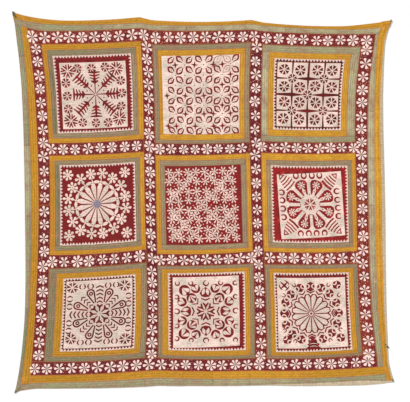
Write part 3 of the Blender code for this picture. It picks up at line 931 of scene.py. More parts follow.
def block_1(w, h):
    yield whole(w, h)
    middle = (7, 5)
    for k, turn in turns(8):
        turn += shaky(1.5)
        yield CUT, put([(-1, 6), (1, 6), (2.6, 56), (-2.6, 56)], *middle, turn)
        yield from all_out(branch(136 if k % 2 else 118, 4 + k % 2), 0, turn, *middle)
        yield CUT, out(disc(3, 6), 47, turn + 22.5, *middle)
    for x, y in ROSETTES_1:
        yield from rosette(x, y, 35, 0.38, 0.7, 0.14)
    for x, y in SMALL_1:
        yield from rosette(x + shaky(2), y + shaky(2), 23, heart=0.16)


# %% Block 2
# The stars are where four leaves meet, at these columns and rows. A leaf is rounder at one end, which
# changes sides from cell to cell, the other way round in some columns. The leaves of three cells have faded.
LEAF_COLUMNS = (-134, -84, -33, 15, 65, 113, 156)
LEAF_ROWS = (154, 101, 50, -4, -54, -97, -159)
OTHER_WAY = (0, 1, 2, 3, 5)
FADED = ((5, 0), (6, 0), (6, 1))
MORE_STARS = ((-181, -4), (65, -97), (-178, -159))


def block_2(w, h):
    yield whole(w, h)
    xs, ys = (-176, *LEAF_COLUMNS, 202), (208, *LEAF_ROWS, -206)
    for i, j in product(range(8), range(8)):
        x, y = (xs[i] + xs[i + 1]) / 2, (ys[j] + ys[j + 1]) / 2
        odd = (i + j + (i > 4)) % 2
        turn = (-45 if odd else 45) + (180 if odd != (i in OTHER_WAY) else 0) + shaky(5)
        edge = 1.5 if (i, j) in FADED else 7.2
        size = min(27 + shaky(1.5), 0.6 * (xs[i + 1] - xs[i]), 0.6 * (ys[j] - ys[j + 1]))
        wide = 1.2 * size
        yield CUT, put(leaf(-size, size, wide, 8, 1.4), x, y, turn)
        kept = leaf(edge - size, size - edge, wide - 2 * edge, 8, 1.3)
        yield KEEP, put(kept, x + shaky(2), y + shaky(1), turn)
        if (i, j) not in FADED:
            yield KEEP, put(leaf(-size - 6, 16 - size, 10), x, y, turn)
        yield CUT, put(disc(1.8, 6), x, y)
    for (i, x), (j, y) in product(enumerate(LEAF_COLUMNS), enumerate(LEAF_ROWS)):
        starred = (i + j) % 2 == 0 and j in (0, 3, 5, 6) if i < 5 else (i + j) % 2 == 1
        if starred:
            yield CUT, put(star(19 + shaky(1.5)), x, y, shaky(8))
        elif (x, y) not in MORE_STARS:
            yield CUT, put(disc(2, 6), x, y)
    for x, y in MORE_STARS:
        yield CUT, put(star(18), x, y, shaky(8))


# %% Block 3
# How far apart the rosettes are, and how far from the rosettes on its crossings a slit stops.
PITCH_3, STOP_3 = 84.5, 27


def slit(start, end, wide_start, wide_end):
    """A cut that widens or narrows along its length."""
    (x1, y1), (x2, y2) = start, end
    long = hypot(x2 - x1, y2 - y1)
    nx, ny = (y1 - y2) / long / 2, (x2 - x1) / long / 2
    one = [(x1 - nx * wide_start, y1 - ny * wide_start), (x2 - nx * wide_end, y2 - ny * wide_end)]
    two = [(x2 + nx * wide_end, y2 + ny * wide_end), (x1 + nx * wide_start, y1 + ny * wide_start)]
    return one + two


def block_3(w, h):
    yield whole(w, h)
    p = PITCH_3
    for turn, long, wide in ((0, h / 2, 10), (90, w / 2, 17)):
        for side in (-1, 1):
            for flip in (-1, 1):
                outside = slit((side * p, flip * long), (side * p, flip * (p + STOP_3)), 8, 3)
                inside = slit((side * p, 0), (side * p, flip * (p - STOP_3)), wide, 2.5)
                yield CUT, put(outside, turn=turn)
                yield CUT, put(inside, turn=turn)
            yield CUT, put(slit((0, side * long), (0, side * p), 8, wide), turn=turn)
            yield CUT, put(slit((0, side * p), (0, side * STOP_3), wide, 2.5), turn=turn)
    for i, j in product(range(4), range(4)):
        yield from rosette((i - 1.5) * p + shaky(4), (1.5 - j) * p + shaky(4), 27.5)
    for x, y in ((0, 0), (-p, p), (p, p), (p, -p), (-p, -p)):
        yield from rosette(x, y, 23)


# %% [markdown]
# ### The second row
# Block 4 is a sunburst with sixteen flowers round it, and block 5 a field of small flowers: both are sewn
# from separate pieces. Block 6 has eight flowers in lobes, with crescents along its sides.

# %% Block 4
CORNER_FLOWERS = ((-159, 154), (146, 156), (152, -156), (-154, -156))
STEM_4 = [(0, 22), (1.7, 22), (3.6, 86), (10.5, 101), (6.5, 106), (0, 98)]
NOTCH_4 = [(0, 96), (5, 104), (4, 109), (0, 109)]
STALK_4 = [(0, 100), (4, 104), (2.2, 122), (2.2, 136), (0, 136)]


def block_4(w, h):
    middle, half = (-5, 2), 11.25
    yield KEEP, put(disc(106, 48), *middle)
    for _, turn in turns(16):
        yield CUT, put(mirrored(STEM_4), *middle, turn)
        yield CUT, out(disc(1.7, 6), 72, turn + half, *middle)
    for k, turn in turns(16):
        yield CUT, put(mirrored(NOTCH_4), *middle, turn)
        yield KEEP, out(leaf(-21, 21, 17), 113, turn, *middle, 90)
        yield KEEP, put(mirrored(STALK_4), *middle, turn + half)
        head = spray(30 + shaky(1.5), 6 + k % 2, 0.26, 0.32)
        yield KEEP, out(head, 156 + shaky(3), turn + half, *middle, shaky(20))
        yield CUT, out(disc(2, 6), 157, turn + half, *middle)
    for x, y in CORNER_FLOWERS:
        yield KEEP, put(spray(30, 7, 0.25, 0.32), x, y, shaky(20))
        yield CUT, put(disc(2, 6), x, y)


# %% Block 5
# Flowers stand in slanting rows and columns and in every second cell between, but for these.
OPEN_CELLS = ((3, 1), (2, 2), (1, 3), (5, 3), (3, 5))


def block_5(w, h):
    def place(i, j):
        return -181 + 48.3 * i + 1.5 * j, 171 - 48.9 * j + 0.2 * i

    cells = [(i + 0.5, j + 0.5) for i, j in product(range(7), range(7))]
    starred = [(i, j) for i, j in cells if (i + j) % 2 and (i - 0.5, j - 0.5) not in OPEN_CELLS]
    for cell in [*product(range(8), range(8)), *starred]:
        x, y = place(*cell)
        yield KEEP, put(spray(24.5 + shaky(2), 7, 0.16, 0.2), x + shaky(3.5), y + shaky(3.5), shaky(20))
    for cell in cells:
        if cell not in starred:
            yield KEEP, put(disc(3.2, 6), *place(*cell))


# %% Block 6
# Bars across each corner: how far out, how long, and how thick. The innermost differs from side to side.
CORNER_BARS = ((137, 64), (155, 64), (170, 58), (185, 46))
FIRST_BARS, BAR = (12, 7, 9, 5), 5
LOBE_6 = [(0, 84), (5, 62), (11, 48), (22, 78), (33.5, 107), (30, 122), (15, 131), (0, 132)]
STALK_6 = [(0, 50), (7, 62), (9, 76), (5, 86), (0, 90)]


def lobes_6():
    """Block 6 as it was drawn, before it leans."""
    yield from rosette(0, 0, 31, notch=0.3)
    for _, eighth in turns(8):
        turn = eighth + 22.5 + shaky(1)
        yield CUT, put(mirrored(LOBE_6), turn=turn)
        yield KEEP, put(mirrored(STALK_6), turn=turn)
        yield CUT, out(disc(2.6, 6), 71, turn)
        yield KEEP, out(spray(21.5, wide=0.2, core=0.28), 106, turn, spin=shaky(15))
        yield CUT, out(disc(2.4, 6), 52, eighth)
    for side, turn in turns(4):
        for along in (-64, -21, 21, 64):
            yield CUT, put(horn(31, 34, 9, 142), *on_side(turn, along + shaky(2), 148), turn)
        for number, (far, long) in enumerate(CORNER_BARS):
            thick = (BAR if number else FIRST_BARS[side]) / 2
            near, beyond = far - thick, far + thick
            bend = [(0, near - 3), (long / 2, near), (long / 2, beyond), (0, beyond - 3)]
            yield CUT, put(mirrored(bend), turn=turn + 45)
        yield CUT, put(mirrored([(0, 197), (19, 197), (0, 221)]), turn=turn + 45)
        yield KEEP, put(mirrored([(0, 201.5), (10, 201.5), (0, 213)]), turn=turn + 45)


def block_6(w, h):
    yield whole(w, h)
    # The pattern was cut off the middle, and leans.
    for kind, shape in lobes_6():
        yield kind, put([(u - 0.05 * v, v) for u, v in shape], -4, 5, 2)


# %% [markdown]
# ### The third row
# Blocks 7 and 8 both grow from a star of eight petals, one with loops and ladders and one with fans.
# Block 9 is a wheel of sixteen stems with a bud at the end of each.

# %% Block 7
ROSETTES_7 = ((-139, 147), (131, 142), (139, -142), (-136, -130))
PAIRS_7 = (-86, -45, 45, 86)
# The ladders on the axes and on the diagonals: a rung is so wide and longer farther out, by one in so many.
LADDERS_7 = (((66, 86, 107, 127, 147), 22, 9, 9, 6.5), ((66, 86, 106, 126), 18, 12, 11, 6))


def block_7(w, h):
    yield whole(w, h)
    middle = (3, 0)
    yield from forked_star(*middle, 13, 33, 52)
    for k, turn in turns(8):
        loop = turn + 22.5 + shaky(1.5)
        yield CUT, put(drop(66, 144, 43, 15), *middle, loop)
        yield KEEP, put(drop(66, 137, 29, 2.5), *middle, loop)
        yield CUT, out(disc(10.5), 119, loop, *middle)
        yield KEEP, out(disc(4.5, 8), 119, loop, *middle)
        rungs, wide, longer, rise, thick = LADDERS_7[k % 2]
        for far in rungs:
            yield CUT, out(chevron(wide + far / longer, rise, thick), far, turn, *middle)
    for x, y in ROSETTES_7:
        yield from rosette(x, y, 29, notch=0.25)
    for _, turn in turns(4):
        for along in PAIRS_7:
            x, y = on_side(turn, along, 150)
            for face in (-90, 90):
                yield CUT, put(horn(30, 34, 7, 68), x + shaky(1), y, turn + face)


# %% Block 8
FANS_8 = ((-113, 117), (113, 121), (114, -112), (-117, -120))
HOOKS_8 = (-150, -79, 0, 79)


def fan(size, petals=2):
    """A round hole with two or three petals left in it, which fan out from its foot."""
    yield CUT, disc(size, 20)
    for k in range(petals):
        lean = 12 * petals * (2 * k / (petals - 1) - 1)
        long = 1.68 * size * cos(radians(lean))
        yield KEEP, put(drop(0.12 * size, long, 1.5 * size / petals, 2), 0, -0.7 * size, lean + shaky(4))


def shell(size):
    """A hole with a round foot and a pointed tip, and in it two leaves side by side."""
    side = ((0, -0.85), (0.7, -0.7), (1.05, -0.15), (0.75, 0.45), (0, 1.1))
    yield CUT, mirrored([(u * size, v * size) for u, v in side])
    petal = leaf(-0.5 * size, 0.86 * size, 0.62 * size)
    for face in (-1, 1):
        yield KEEP, put(petal, face * 0.42 * size, 0.02 * size, -15 * face)


def block_8(w, h):
    # The cloth was cut out of true: its lower edge slopes.
    yield KEEP, [(-w / 2, -h / 2 - 13), (w / 2, -h / 2), (w / 2, h / 2 + 6), (-w / 2, h / 2 + 2)]
    middle = (-3, 2)
    yield from forked_star(*middle, 10, 24, 49)
    for k, turn in turns(8):
        if k % 2:
            yield CUT, out(chevron(44, -20, 6), 56, turn, *middle)
            yield from all_out(fan(26, 3), 104, turn, *middle, 180 + shaky(20))
        else:
            yield CUT, out(chevron(46, -10, 6.5), 58, turn, *middle)
            yield from all_out(shell(28.5), 101, turn, *middle, shaky(8))
        yield from all_out(fan(24), 134, turn + 22.5, *middle, shaky(14))
    for (x, y), turn in zip(FANS_8, (135, 225, 315, 45)):
        yield from all_out(fan(29), 0, 0, x, y, turn)
    for _, turn in turns(4):
        for along in HOOKS_8:
            size = 26 if along else 31
            spin = turn + shaky(40)
            yield CUT, put(horn(size, size, 7.5, 142), *on_side(turn, along + shaky(3), 154), spin)


# %% Block 9
CORNERS_9 = ((141, 150), (150, -140), (-138, -144))
BOLD_9 = (1, 7, 9, 15)
TIP_9 = [(0, 104), (5, 102.5), (9, 105), (9, 107), (4, 105.5), (0, 107)]
TREE_9 = [(0, -193), (40, -188), (24, -176), (33, -166), (17, -158), (20, -150), (0, -136)]
# A crescent in a bud of size 1, with its back to the bud's middle.
BITE = (
    (1.04, -0.68), (0.5, -0.56), (0.16, -0.2), (0.16, 0.2), (0.5, 0.56), (1.04, 0.68),
    (0.64, 0.3), (0.46, 0), (0.64, -0.3),
)


def bud(size):
    """A round bud with two crescents left in it, one on each side of its stem."""
    side = ((0, -1.08), (0.8, -0.62), (1, 0), (0.72, 0.7), (0, 1))
    yield CUT, mirrored([(u * size, v * size) for u, v in side])
    for face in (-1, 1):
        yield KEEP, [(face * u * size, v * size) for u, v in BITE]


def block_9(w, h):
    yield whole(w, h)
    middle, corner, foot = (-4, -3), (-147, 150), (2, -3)
    yield CUT, put(disc(5.5, 8), *middle)
    for k, turn in turns(16):
        bold = 2 if k in BOLD_9 else 0
        line = [(0, 13), (1.1, 13), (2.4 + bold / 2, 88), (12 + bold, 102), (10 + bold, 107), (0, 95)]
        yield CUT, put(mirrored(line), *middle, turn)
        yield CUT, put(mirrored(TIP_9), *middle, turn + 11.25)
        yield CUT, out(chevron(44 - 6 * (k % 2), -12, 6), 109, turn, *middle)
        if k % 4 == 0:
            yield CUT, out(chevron(36, -11, 4), 119.5, turn, *middle)
        far = 152 if k % 4 else 150
        yield from all_out(bud(22.5), far + shaky(2), turn + shaky(1), *middle)
    for x, y in CORNERS_9:
        yield from all_out(bud(23), 0, 0, x, y, 45 if x * y > 0 else -45)
    for arm in (-45, 45):
        yield CUT, put(leaf(-30, 30, 9), *corner, arm)
    for arm in (-135, -45, 60):
        yield CUT, out(horn(34, 18, 6, 75), -19, arm, *corner)
    yield CUT, put(mirrored(TREE_9), *foot)
    for low in (-178, -164):
        yield KEEP, put(mirrored([(5, low), (22, low - 3), (22, low - 0.5), (5, low + 4)]), *foot)
    for _, turn in turns(4):
        for along in (-94, 96):
            spin = turn + (30 if along > 0 else -30)
            yield CUT, put(horn(20, 24, 5), *on_side(turn, along, 152), spin)


PATTERNS = (block_1, block_2, block_3, block_4, block_5, block_6, block_7, block_8, block_9)
print("patterns:", len(PATTERNS))

# %% [markdown]
# ## Cutting cloth
# The maker folds the cream cloth, snips through the folds, opens it and turns every raw edge under with
# the needle as it is sewn down. Boolean modifiers could cut the same holes, but on hundreds of thin shapes
# they are slow and leave long, thin faces. A triangulation that keeps every outline as an edge does it in
# one go: each triangle then asks which outline was laid on last, and stays if that one was kept.

# %% Cutting outlines out of a cloth
# Long sides get a point every so many millimetres, and the grid inside keeps clear of all of them.
LONGEST, CLEAR = 12.0, 3.5
# What is cut out grows by what is turned under, and what is laid on shrinks by a share of it. A sharp
# corner moves no farther than SHARPEST lets it.
LAID_ON_SHARE, SHARPEST = 0.4, 0.7
# Points nearer than this are one point, and a triangle of less than half this area is dropped.
SAME_POINT, SLIVER = 1e-4, 1e-3
# A cut cloth is thinner at its edges.
EDGE_THICK = 0.5


def even(dye):
    """The same dye however far from the middle."""
    return lambda far: np.full(len(far), dye)


def sides_of(outline):
    return zip(outline, outline[1:] + outline[:1])


def turning(outline):
    """Twice the area that an outline goes round, less than nothing if it goes clockwise."""
    return sum(ax * by - bx * ay for (ax, ay), (bx, by) in sides_of(outline))


def stepped(outline):
    """An outline with more points along its long sides, so that the cloth bends with the folds."""
    for (ax, ay), (bx, by) in sides_of(outline):
        count = int(hypot(bx - ax, by - ay) // LONGEST) + 1
        yield from ((ax + (bx - ax) * k / count, ay + (by - ay) * k / count) for k in range(count))


def opened(outline, far):
    """An outline whose sides all move outwards, as a raw edge is turned under; inwards for less than 0."""
    normals = []
    for (ax, ay), (bx, by) in sides_of(outline):
        long = hypot(bx - ax, by - ay) or 1
        normals.append(((by - ay) / long, (ax - bx) / long))
    moved = []
    for (x, y), one, two in zip(outline, normals[-1:] + normals[:-1], normals):
        share = far / max(1 + one[0] * two[0] + one[1] * two[1], SHARPEST)
        moved.append((x + (one[0] + two[0]) * share, y + (one[1] + two[1]) * share))
    return moved


def cut_out(shapes, at=(0.0, 0.0), turn=0.0, grid=8.0, dye=even(0.6), under=0.0):
    """The cloth that is left of shapes laid on one another, moved and turned. `dye` takes how far a
    face is from the middle, in millimetres, and `under` is how much of every edge is turned under."""
    outlines = []
    for number, (kind, shape) in enumerate(shapes):
        shape = shape if turning(shape) > 0 else shape[::-1]
        if number:
            shape = opened(shape, under if kind == CUT else -LAID_ON_SHARE * under)
        outlines.append(list(stepped(shape)))
    ends = np.cumsum([len(outline) for outline in outlines])
    polygons = [list(range(end - len(outline), end)) for end, outline in zip(ends, outlines)]
    corners = [point for outline in outlines for point in outline]
    tree = KDTree(len(corners))
    for i, (x, y) in enumerate(corners):
        tree.insert((x, y, 0), i)
    tree.balance()
    lines = (np.arange(min(side) + grid / 2, max(side), grid).tolist() for side in zip(*corners))
    inner = [spot for spot in product(*lines) if tree.find((*spot, 0))[2] > CLEAR]
    vectors = [Vector(point) for point in corners + inner]
    found, _, faces, _, _, sources = delaunay_2d_cdt(vectors, [], polygons, 1, SAME_POINT, True)
    kept = [face for face, source in zip(faces, sources) if source and shapes[max(source)][0] == KEEP]
    used, faces = np.unique(np.array(kept), return_inverse=True)
    faces, flat = faces.reshape(-1, 3), np.array(found)[used]
    (ax, ay), (bx, by), (cx, cy) = flat[faces].transpose(1, 2, 0)
    area = (bx - ax) * (cy - ay) - (cx - ax) * (by - ay)
    faces = np.where(area[:, None] < 0, faces[:, ::-1], faces)[np.abs(area) > SLIVER]
    edges = np.zeros(len(flat))
    edges[[a for a, _, _ in outer_sides(faces.tolist())]] = 1.0
    far = np.hypot(*flat[faces].mean(axis=1).T)
    x, y = flat.T
    c, s = cos(radians(turn)), sin(radians(turn))
    points = np.column_stack([at[0] + x * c - y * s, at[1] + x * s + y * c])
    tops = TOP_THICK + (EDGE_THICK - TOP_THICK) * edges
    return Cloth(points, tops, faces.tolist(), points.copy(), dye(far), edges)


print("a disc is cut into", len(cut_out([(KEEP, disc(20))]).faces), "faces")

# %% [markdown]
# ## The nine top cloths
# Each cut cloth lies on its red ground. Farther from the heart of a block the cream is cleaner and pinker:
# the folds there took less wear. The cloths of two blocks are not one piece of cloth but many small ones,
# sewn on one by one.

# %% The nine top cloths
TOP_UNDER = PATCH_UNDER + PATCH_THICK + LAYER_GAP
# How much larger than its solid each top cloth is cut on every side; the rest are cut to size.
LARGER = {2: 2.5, 3: -3.0, 7: -3.0}
# How much of each cut edge is turned under, block by block.
TURNED = (0.9, 1.0, 1.2, 0.3, 0.0, 0.9, 0.8, 0.8, 1.0)
# The red under a cream cloth and up to so many millimetres from it is painted darker, as shade cast by
# that cloth, and it has run and faded in patches there. The blocks whose flowers are sewn on show their red
# plain.
DARKER, PATCHY, NEARBY = 0.1, 0.34, 14.0
SEWN_ON = (4, 5)
# How fast those patches change in u and in v, and how slowly they bend, in millimetres.
PATCH_U, PATCH_V, BEND_U, BEND_V = 8, 9, 23, 19
# How clean the middle of each cream cloth is, from worn to new, and how much cleaner a millimetre out.
CLEAN, CLEANER = (0.35, 0.6, 0.4, 0.6, 0.7, 0.6, 0.1, 0.35, 0.35), 0.0035


def cleaner_outwards(clean, far):
    """The dye of a cream cloth so far from its middle."""
    return np.clip(clean + CLEANER * far, 0, 1)


def shaded(ground, cream):
    """A ground's `dyes`, with painted shade from the cream cloth on it: darker, and patchy, the nearer each
    of its faces is to that cloth.
    """
    at = ground.points[np.array(ground.faces)].mean(axis=1)
    off = np.hypot(*(at[:, None] - cream.points).transpose(2, 0, 1)).min(axis=1)
    near = np.clip(2 - 2 * off / NEARBY, 0, 1)
    u, v = at.T
    patches = np.sin(u / PATCH_U + np.sin(v / BEND_V)) * np.sin(v / PATCH_V + np.sin(u / BEND_U))
    return ground.dyes + (PATCHY * patches - DARKER) * near


tops = {}
for number, (block, pattern) in enumerate(zip(BLOCKS, PATTERNS), 1):
    left, right, low, top = drawn_in(panels[number], block.red)
    middle = ((left + right) / 2, (low + top) / 2)
    more = 2 * LARGER.get(number, 0.0)
    size = (right - left + more, top - low + more)
    shapes = list(pattern(*size))
    dye = partial(cleaner_outwards, CLEAN[number - 1])
    cloth = cut_out(shapes, middle, block.turn, dye=dye, under=TURNED[number - 1])
    piece = closed(f"cut_work_{number}", cloth, TOP_UNDER, CREAM)
    tops[number] = piece, size, middle, flat_area(cloth)
    ground = grounds[number]
    # The red near the cream cloth gets painted shade, except in the blocks whose flowers are sewn on.
    if number not in SEWN_ON:
        ground = ground._replace(dyes=shaded(ground, cloth))
    grounds[number] = ground, closed(f"ground_{number}_cloth", ground, PATCH_UNDER, RED)
    print("block", number, "has", len(shapes), "cuts and", len(piece.data.polygons), "faces")

# %% [markdown]
# ## Small pieces in rows
# Teeth, flowers and stitches all repeat along a line, which is what Geometry Nodes are good at. One tree
# serves all three: it turns the path into a curve, spaces points along it, strays a little from them as a
# hand does, and puts a piece on each, turned to the path. The path and the pieces are still on the plan,
# and the result is laid like every other cloth.

# %% One tree for everything that is sewn in a row
INPUTS = {
    "Path": "Geometry", "Pieces": "Collection", "Pitch": "Float", "Stray": "Float", "Spin": "Float",
    "Size spread": "Float", "Seed": "Int", "Material": "Material",
}


def sewing_tree():
    """The node group, with an input for all that differs from one row to another."""
    tree = bpy.data.node_groups.new("sewn in a row", "GeometryNodeTree")
    for name, kind in INPUTS.items():
        tree.interface.new_socket(name=name, in_out="INPUT", socket_type=f"NodeSocket{kind}")
    tree.interface.new_socket(name="Sewn", in_out="OUTPUT", socket_type="NodeSocketGeometry")
    node = partial(add, tree)
    given = node("NodeGroupInput").outputs
    seed = {"Seed": given["Seed"]}

    # Points along the path, each strayed a little to any side.
    curve = node("GeometryNodeMeshToCurve", {"Mesh": given["Path"]})
    spaced = node("GeometryNodeResampleCurve", {"Curve": curve, "Length": given["Pitch"]}, mode="LENGTH")
    most = node("ShaderNodeCombineXYZ", (given["Stray"], given["Stray"]))
    least = node("ShaderNodeVectorMath", {0: most, "Scale": -1.0}, operation="SCALE")
    stray = node("FunctionNodeRandomValue", {0: least, 1: most, **seed}, data_type="FLOAT_VECTOR")
    placed = node("GeometryNodeSetPosition", {"Geometry": spaced, "Offset": stray})

    # Each piece is turned along the path and spun a little, and some are larger than others.
    tangent = node("GeometryNodeInputTangent")
    along = node("FunctionNodeAlignRotationToVector", {"Vector": tangent}, axis="X", pivot_axis="Z")
    back = node("ShaderNodeMath", (given["Spin"], -1.0), operation="MULTIPLY")
    spin = node("FunctionNodeRandomValue", {2: back, 3: given["Spin"], **seed}).outputs[1]
    spun = node("ShaderNodeCombineXYZ", {"Z": spin})
    turned = node("FunctionNodeRotateRotation", (along, spun), rotation_space="LOCAL")
    spread = (1.0, given["Size spread"])
    small, large = (node("ShaderNodeMath", spread, operation=way) for way in ("SUBTRACT", "ADD"))
    size = node("FunctionNodeRandomValue", {2: small, 3: large, **seed}).outputs[1]
    which = node("FunctionNodeRandomValue", {4: 0, 5: 99, **seed}, data_type="INT").outputs[2]
    box = {"Collection": given["Pieces"], "Separate Children": True, "Reset Children": True}
    pieces = node("GeometryNodeCollectionInfo", box)
    picked = {"Instance": pieces, "Pick Instance": True, "Instance Index": which}
    laid_down = {"Points": placed, "Rotation": turned, "Scale": size}
    sown = node("GeometryNodeInstanceOnPoints", {**laid_down, **picked})
    real = node("GeometryNodeRealizeInstances", {"Geometry": sown})
    dyed = node("GeometryNodeSetMaterial", {"Geometry": real, "Material": given["Material"]})
    node("NodeGroupOutput", {"Sewn": dyed})
    return tree


SEWING = sewing_tree()


def sewn(name, ends, height, pieces, pitch, material, stray=0.0, spin=0.0, spread=0.0, seed=1):
    """Small pieces a pitch apart along lines of the plan, each line given by its two ends. They stray by
    so many millimetres, spin by so many degrees, and differ in size by a share."""
    mesh = bpy.data.meshes.new(name)
    points = [(u * MM, v * MM, height * MM) for u, v in ends]
    mesh.from_pydata(points, [(i, i + 1) for i in range(0, len(points), 2)], [])
    path = shown(f"{name} path", mesh)
    rows = path.modifiers.new("sewn in a row", "NODES")
    rows.node_group = SEWING
    # The values of all inputs but the first, which is the path itself.
    values = (pieces, pitch * MM, stray * MM, radians(spin), spread, seed, material)
    sockets = [item for item in SEWING.interface.items_tree if item.in_out == "INPUT"][1:]
    for socket, value in zip(sockets, values):
        rows[socket.identifier] = value
    result = path.evaluated_get(bpy.context.evaluated_depsgraph_get())
    plain = bpy.data.meshes.new_from_object(result)
    bpy.data.objects.remove(path)
    return finished(name, plain, material)


def kit(name, meshes):
    """A collection of small things to sew on, each at the origin, none of them laid."""
    box = bpy.data.collections.new(name)
    for number, mesh in enumerate(meshes):
        box.objects.link(bpy.data.objects.new(f"{name} {number}", mesh))
    scene.collection.children.link(box)
    return box


def put_away(box):
    """Deletes a kit once its pieces are sewn on."""
    for piece in list(box.objects):
        bpy.data.objects.remove(piece)
    bpy.data.collections.remove(box)


print("the sewing tree has", len(SEWING.nodes), "nodes")

# %% [markdown]
# ### Teeth
# A sawtooth edging is folded from a long band: every tooth is one fold. Its points face the middle of the
# block and its band is caught in the seam of the frame.

# %% The sawtooth edging
TOOTH, REACH, BAND, BLUNT = 16.0, 13.0, 2.5, 1.2
TOOTHLESS = (2, 5)
half = TOOTH / 2
tooth = [(-half, 0), (half, 0), (half, BAND), (BLUNT, REACH), (-BLUNT, REACH), (-half, BAND)]
folded = cut_out([(KEEP, tooth)], dye=even(0.75))
tooth_kit = kit("tooth", [body("tooth", folded)])
for number, (ground, piece) in grounds.items():
    with_pieces = []
    if number not in TOOTHLESS:
        left, right, low, top = panels[number]
        round_it = (
            (left + half, low), (right - half, low), (right, low + half), (right, top - half),
            (right - half, top), (left + half, top), (left, top - half), (left, low + half),
        )
        name = f"ground_{number}_teeth"
        by_hand = {"stray": 0.7, "spin": 4, "spread": 0.06, "seed": number}
        with_pieces = [sewn(name, round_it, TOP_UNDER, tooth_kit, TOOTH, CREAM, **by_hand)]
    size = extent(panels[number])
    declare(piece, f"ground_{number}", size, flat_area(ground), with_pieces)
put_away(tooth_kit)
print("teeth on", len(panels) - len(TOOTHLESS), "grounds")

# %% [markdown]
# ### Flowers
# Four flowers stand for all of them. Each row picks among them, turns them a little and
# makes some larger than others.

# %% The flowers of the sashes
FLOWER_RADIUS, HEART = 28.0, 2.0
# The dye at the heart, and how far from it a flower is all cream.
HEART_DYE, HEART_FADES = 0.15, 13
# The right half of a petal on a flower of radius 1, from the heart out.
PETAL = ((0.025, 0.1), (0.07, 0.34), (0.16, 0.59), (0.24, 0.79), (0.17, 0.95), (0, 1))
# The last flower of a row still fits on it when the pitch is a little short.
SHORT = 0.999
petal = [(u * FLOWER_RADIUS, v * FLOWER_RADIUS) for u, v in PETAL]
bodies = []
for petals in (7, 6, 7, 6):
    shapes = [(KEEP, put(flower(petal, petals), turn=22.5)), (CUT, disc(HEART, 6))]
    cloth = cut_out(shapes, grid=7.0, dye=lambda far: np.clip(HEART_DYE + far / HEART_FADES, 0, 1))
    bodies.append(body("flower", cloth))
flower_kit = kit("flower", bodies)
for seed, sash in enumerate(SASHES):
    piece, edges, upright, area = sash_pieces[sash.name]
    left, right, low, top = edges
    places = (sash.first, sash.last)
    if upright:
        line = [((left + right) / 2, top - place) for place in places]
    else:
        line = [(left + place, (low + top) / 2) for place in places]
    pitch = (sash.last - sash.first) / (sash.count - 1) * SHORT
    name = f"sash_{sash.name}"
    by_hand = {"stray": 3.0, "spin": 8, "spread": 0.08, "seed": seed}
    row = sewn(f"{name}_flowers", line, TOP_UNDER, flower_kit, pitch, FLOWER, **by_hand)
    declare(piece, name, extent(edges), area, [row])
put_away(flower_kit)
print("flowers on", len(SASHES), "sashes")

# %% [markdown]
# ### Running stitches
# Rows of small stitches go through all the layers and hold them together. Each is a little lens of thread
# that sinks into the cloth at both ends. Their rows lie in the valleys of the cottons' relief.

# %% The running stitches
STITCH, STITCH_PITCH = (4.4, 1.5, 0.45), 9.0
NEAT = {"stray": 0.7, "spin": 6, "spread": 0.2, "seed": 5}
ON_TOP = PATCH_UNDER + PATCH_THICK


def lens(name, size):
    """One stitch: a lens of thread, so long, so wide and so thick."""
    long, wide, high = (side / 2 * MM for side in size)
    tips = [(-long, 0, 0), (0, -wide, 0), (long, 0, 0), (0, wide, 0), (0, 0, high), (0, 0, -high)]
    sides = [(i, (i + 1) % 4, 4) for i in range(4)] + [((i + 1) % 4, i, 5) for i in range(4)]
    mesh = bpy.data.meshes.new(name)
    mesh.from_pydata(tips, [], sides)
    return marked(mesh, np.full(len(sides), 0.5), np.zeros(len(tips)), np.zeros((len(tips), 2)))


def run_thread(name, ends, size, pitch, thread, on, **by_hand):
    """Stitches of a thread along lines, riding on the root body. `on`, the cloth that they are sewn to, is
    not used.
    """
    box = kit(name, [lens(name, size)])
    stitches = sewn(name, ends, ON_TOP, box, pitch, thread, **by_hand)
    put_away(box)
    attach(stitches, "root")
    print(name, "has", len(stitches.data.polygons), "faces")


on_sage = stitch_rows[SAGE] + stitch_rows[OLIVE]
run_thread("stitches_on_ochre", stitch_rows[OCHRE], STITCH, STITCH_PITCH, GOLD_THREAD, OCHRE, **NEAT)
run_thread("stitches_on_sage", on_sage, STITCH, STITCH_PITCH, PALE_THREAD, SAGE, **NEAT)

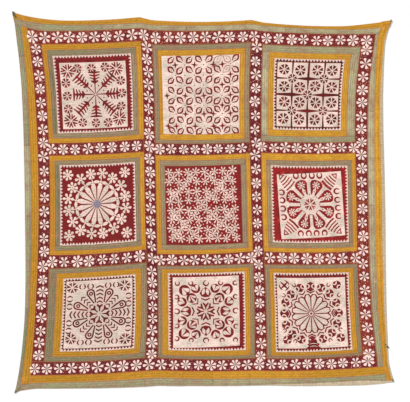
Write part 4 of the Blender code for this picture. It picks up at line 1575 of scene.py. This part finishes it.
# %% [markdown]
# ## The last small pieces
# The four corners, which take all the pulling, are whipped with dark green thread, and that darkness at the
# tips is partly painted shade of the bunched corners. At one of them the thread ends in a knot. A tuft of the
# same thread hangs from the right edge. In the middle of the first block of the second row lies a disc of
# lavender cotton.

# %% Whipped corners, the knot and the tuft
# How far the whipping goes down each corner, in u and in v, clockwise from the top left.
WHIPPED = ((18, -20), (-9, -7), (-6, 10), (8, 10))
# Stitches of the whipping, and the thread's loose ends: how long, wide and thick, and how far apart.
WHIP, WHIP_PITCH, TIGHT = (2.6, 16.0, 2.2), 1.5, {"stray": 0.3, "spin": 4, "spread": 0.12, "seed": 3}
END, END_PITCH, LOOSE = (14.0, 4.2, 3.6), 1.6, {"stray": 1.6, "spin": 90, "spread": 0.2, "seed": 4}
whipped = [(corner.u + u, corner.v + v) for corner, down in zip(CORNERS, WHIPPED) for u, v in ((0, 0), down)]
# Dark thread at the four tips: partly whipping, partly painted shade where the tips bunch.
run_thread("corner_whipping", whipped, WHIP, WHIP_PITCH, DARK_THREAD, SAGE, **TIGHT)
# The knot is given from the top left corner, and the tuft from the right edge.
knot = [(CORNERS[0].u + u, CORNERS[0].v + v) for u, v in ((-5, -3), (12, 1), (-2, -14), (2, 4))]
tuft = [(U["right edge"] + u, v) for u, v in ((-18, -770), (-14, -772), (-9, -782), (3, -790))]
run_thread("knot_and_tuft", knot + tuft, END, END_PITCH, DARK_THREAD, SAGE, **LOOSE)

# %% The lavender disc, and the top cloths fitted to the model
DISC_BLOCK, DISC_RADIUS, DISC_LIFT = 4, 20.5, 0.2
u, v = tops[DISC_BLOCK][2]
disc_cloth = cut_out([(KEEP, disc(DISC_RADIUS, 20))], (u - 5, v + 2), grid=6.0)
disc_piece = closed("cut_work_4_disc", disc_cloth, TOP_UNDER + TOP_THICK + DISC_LIFT, LAVENDER)
for number, (piece, size, _, area) in tops.items():
    with_pieces = [disc_piece] if number == DISC_BLOCK else []
    declare(piece, f"top_cloth_{number}", size, area, with_pieces)
print("declared:", len(made), "cloths")
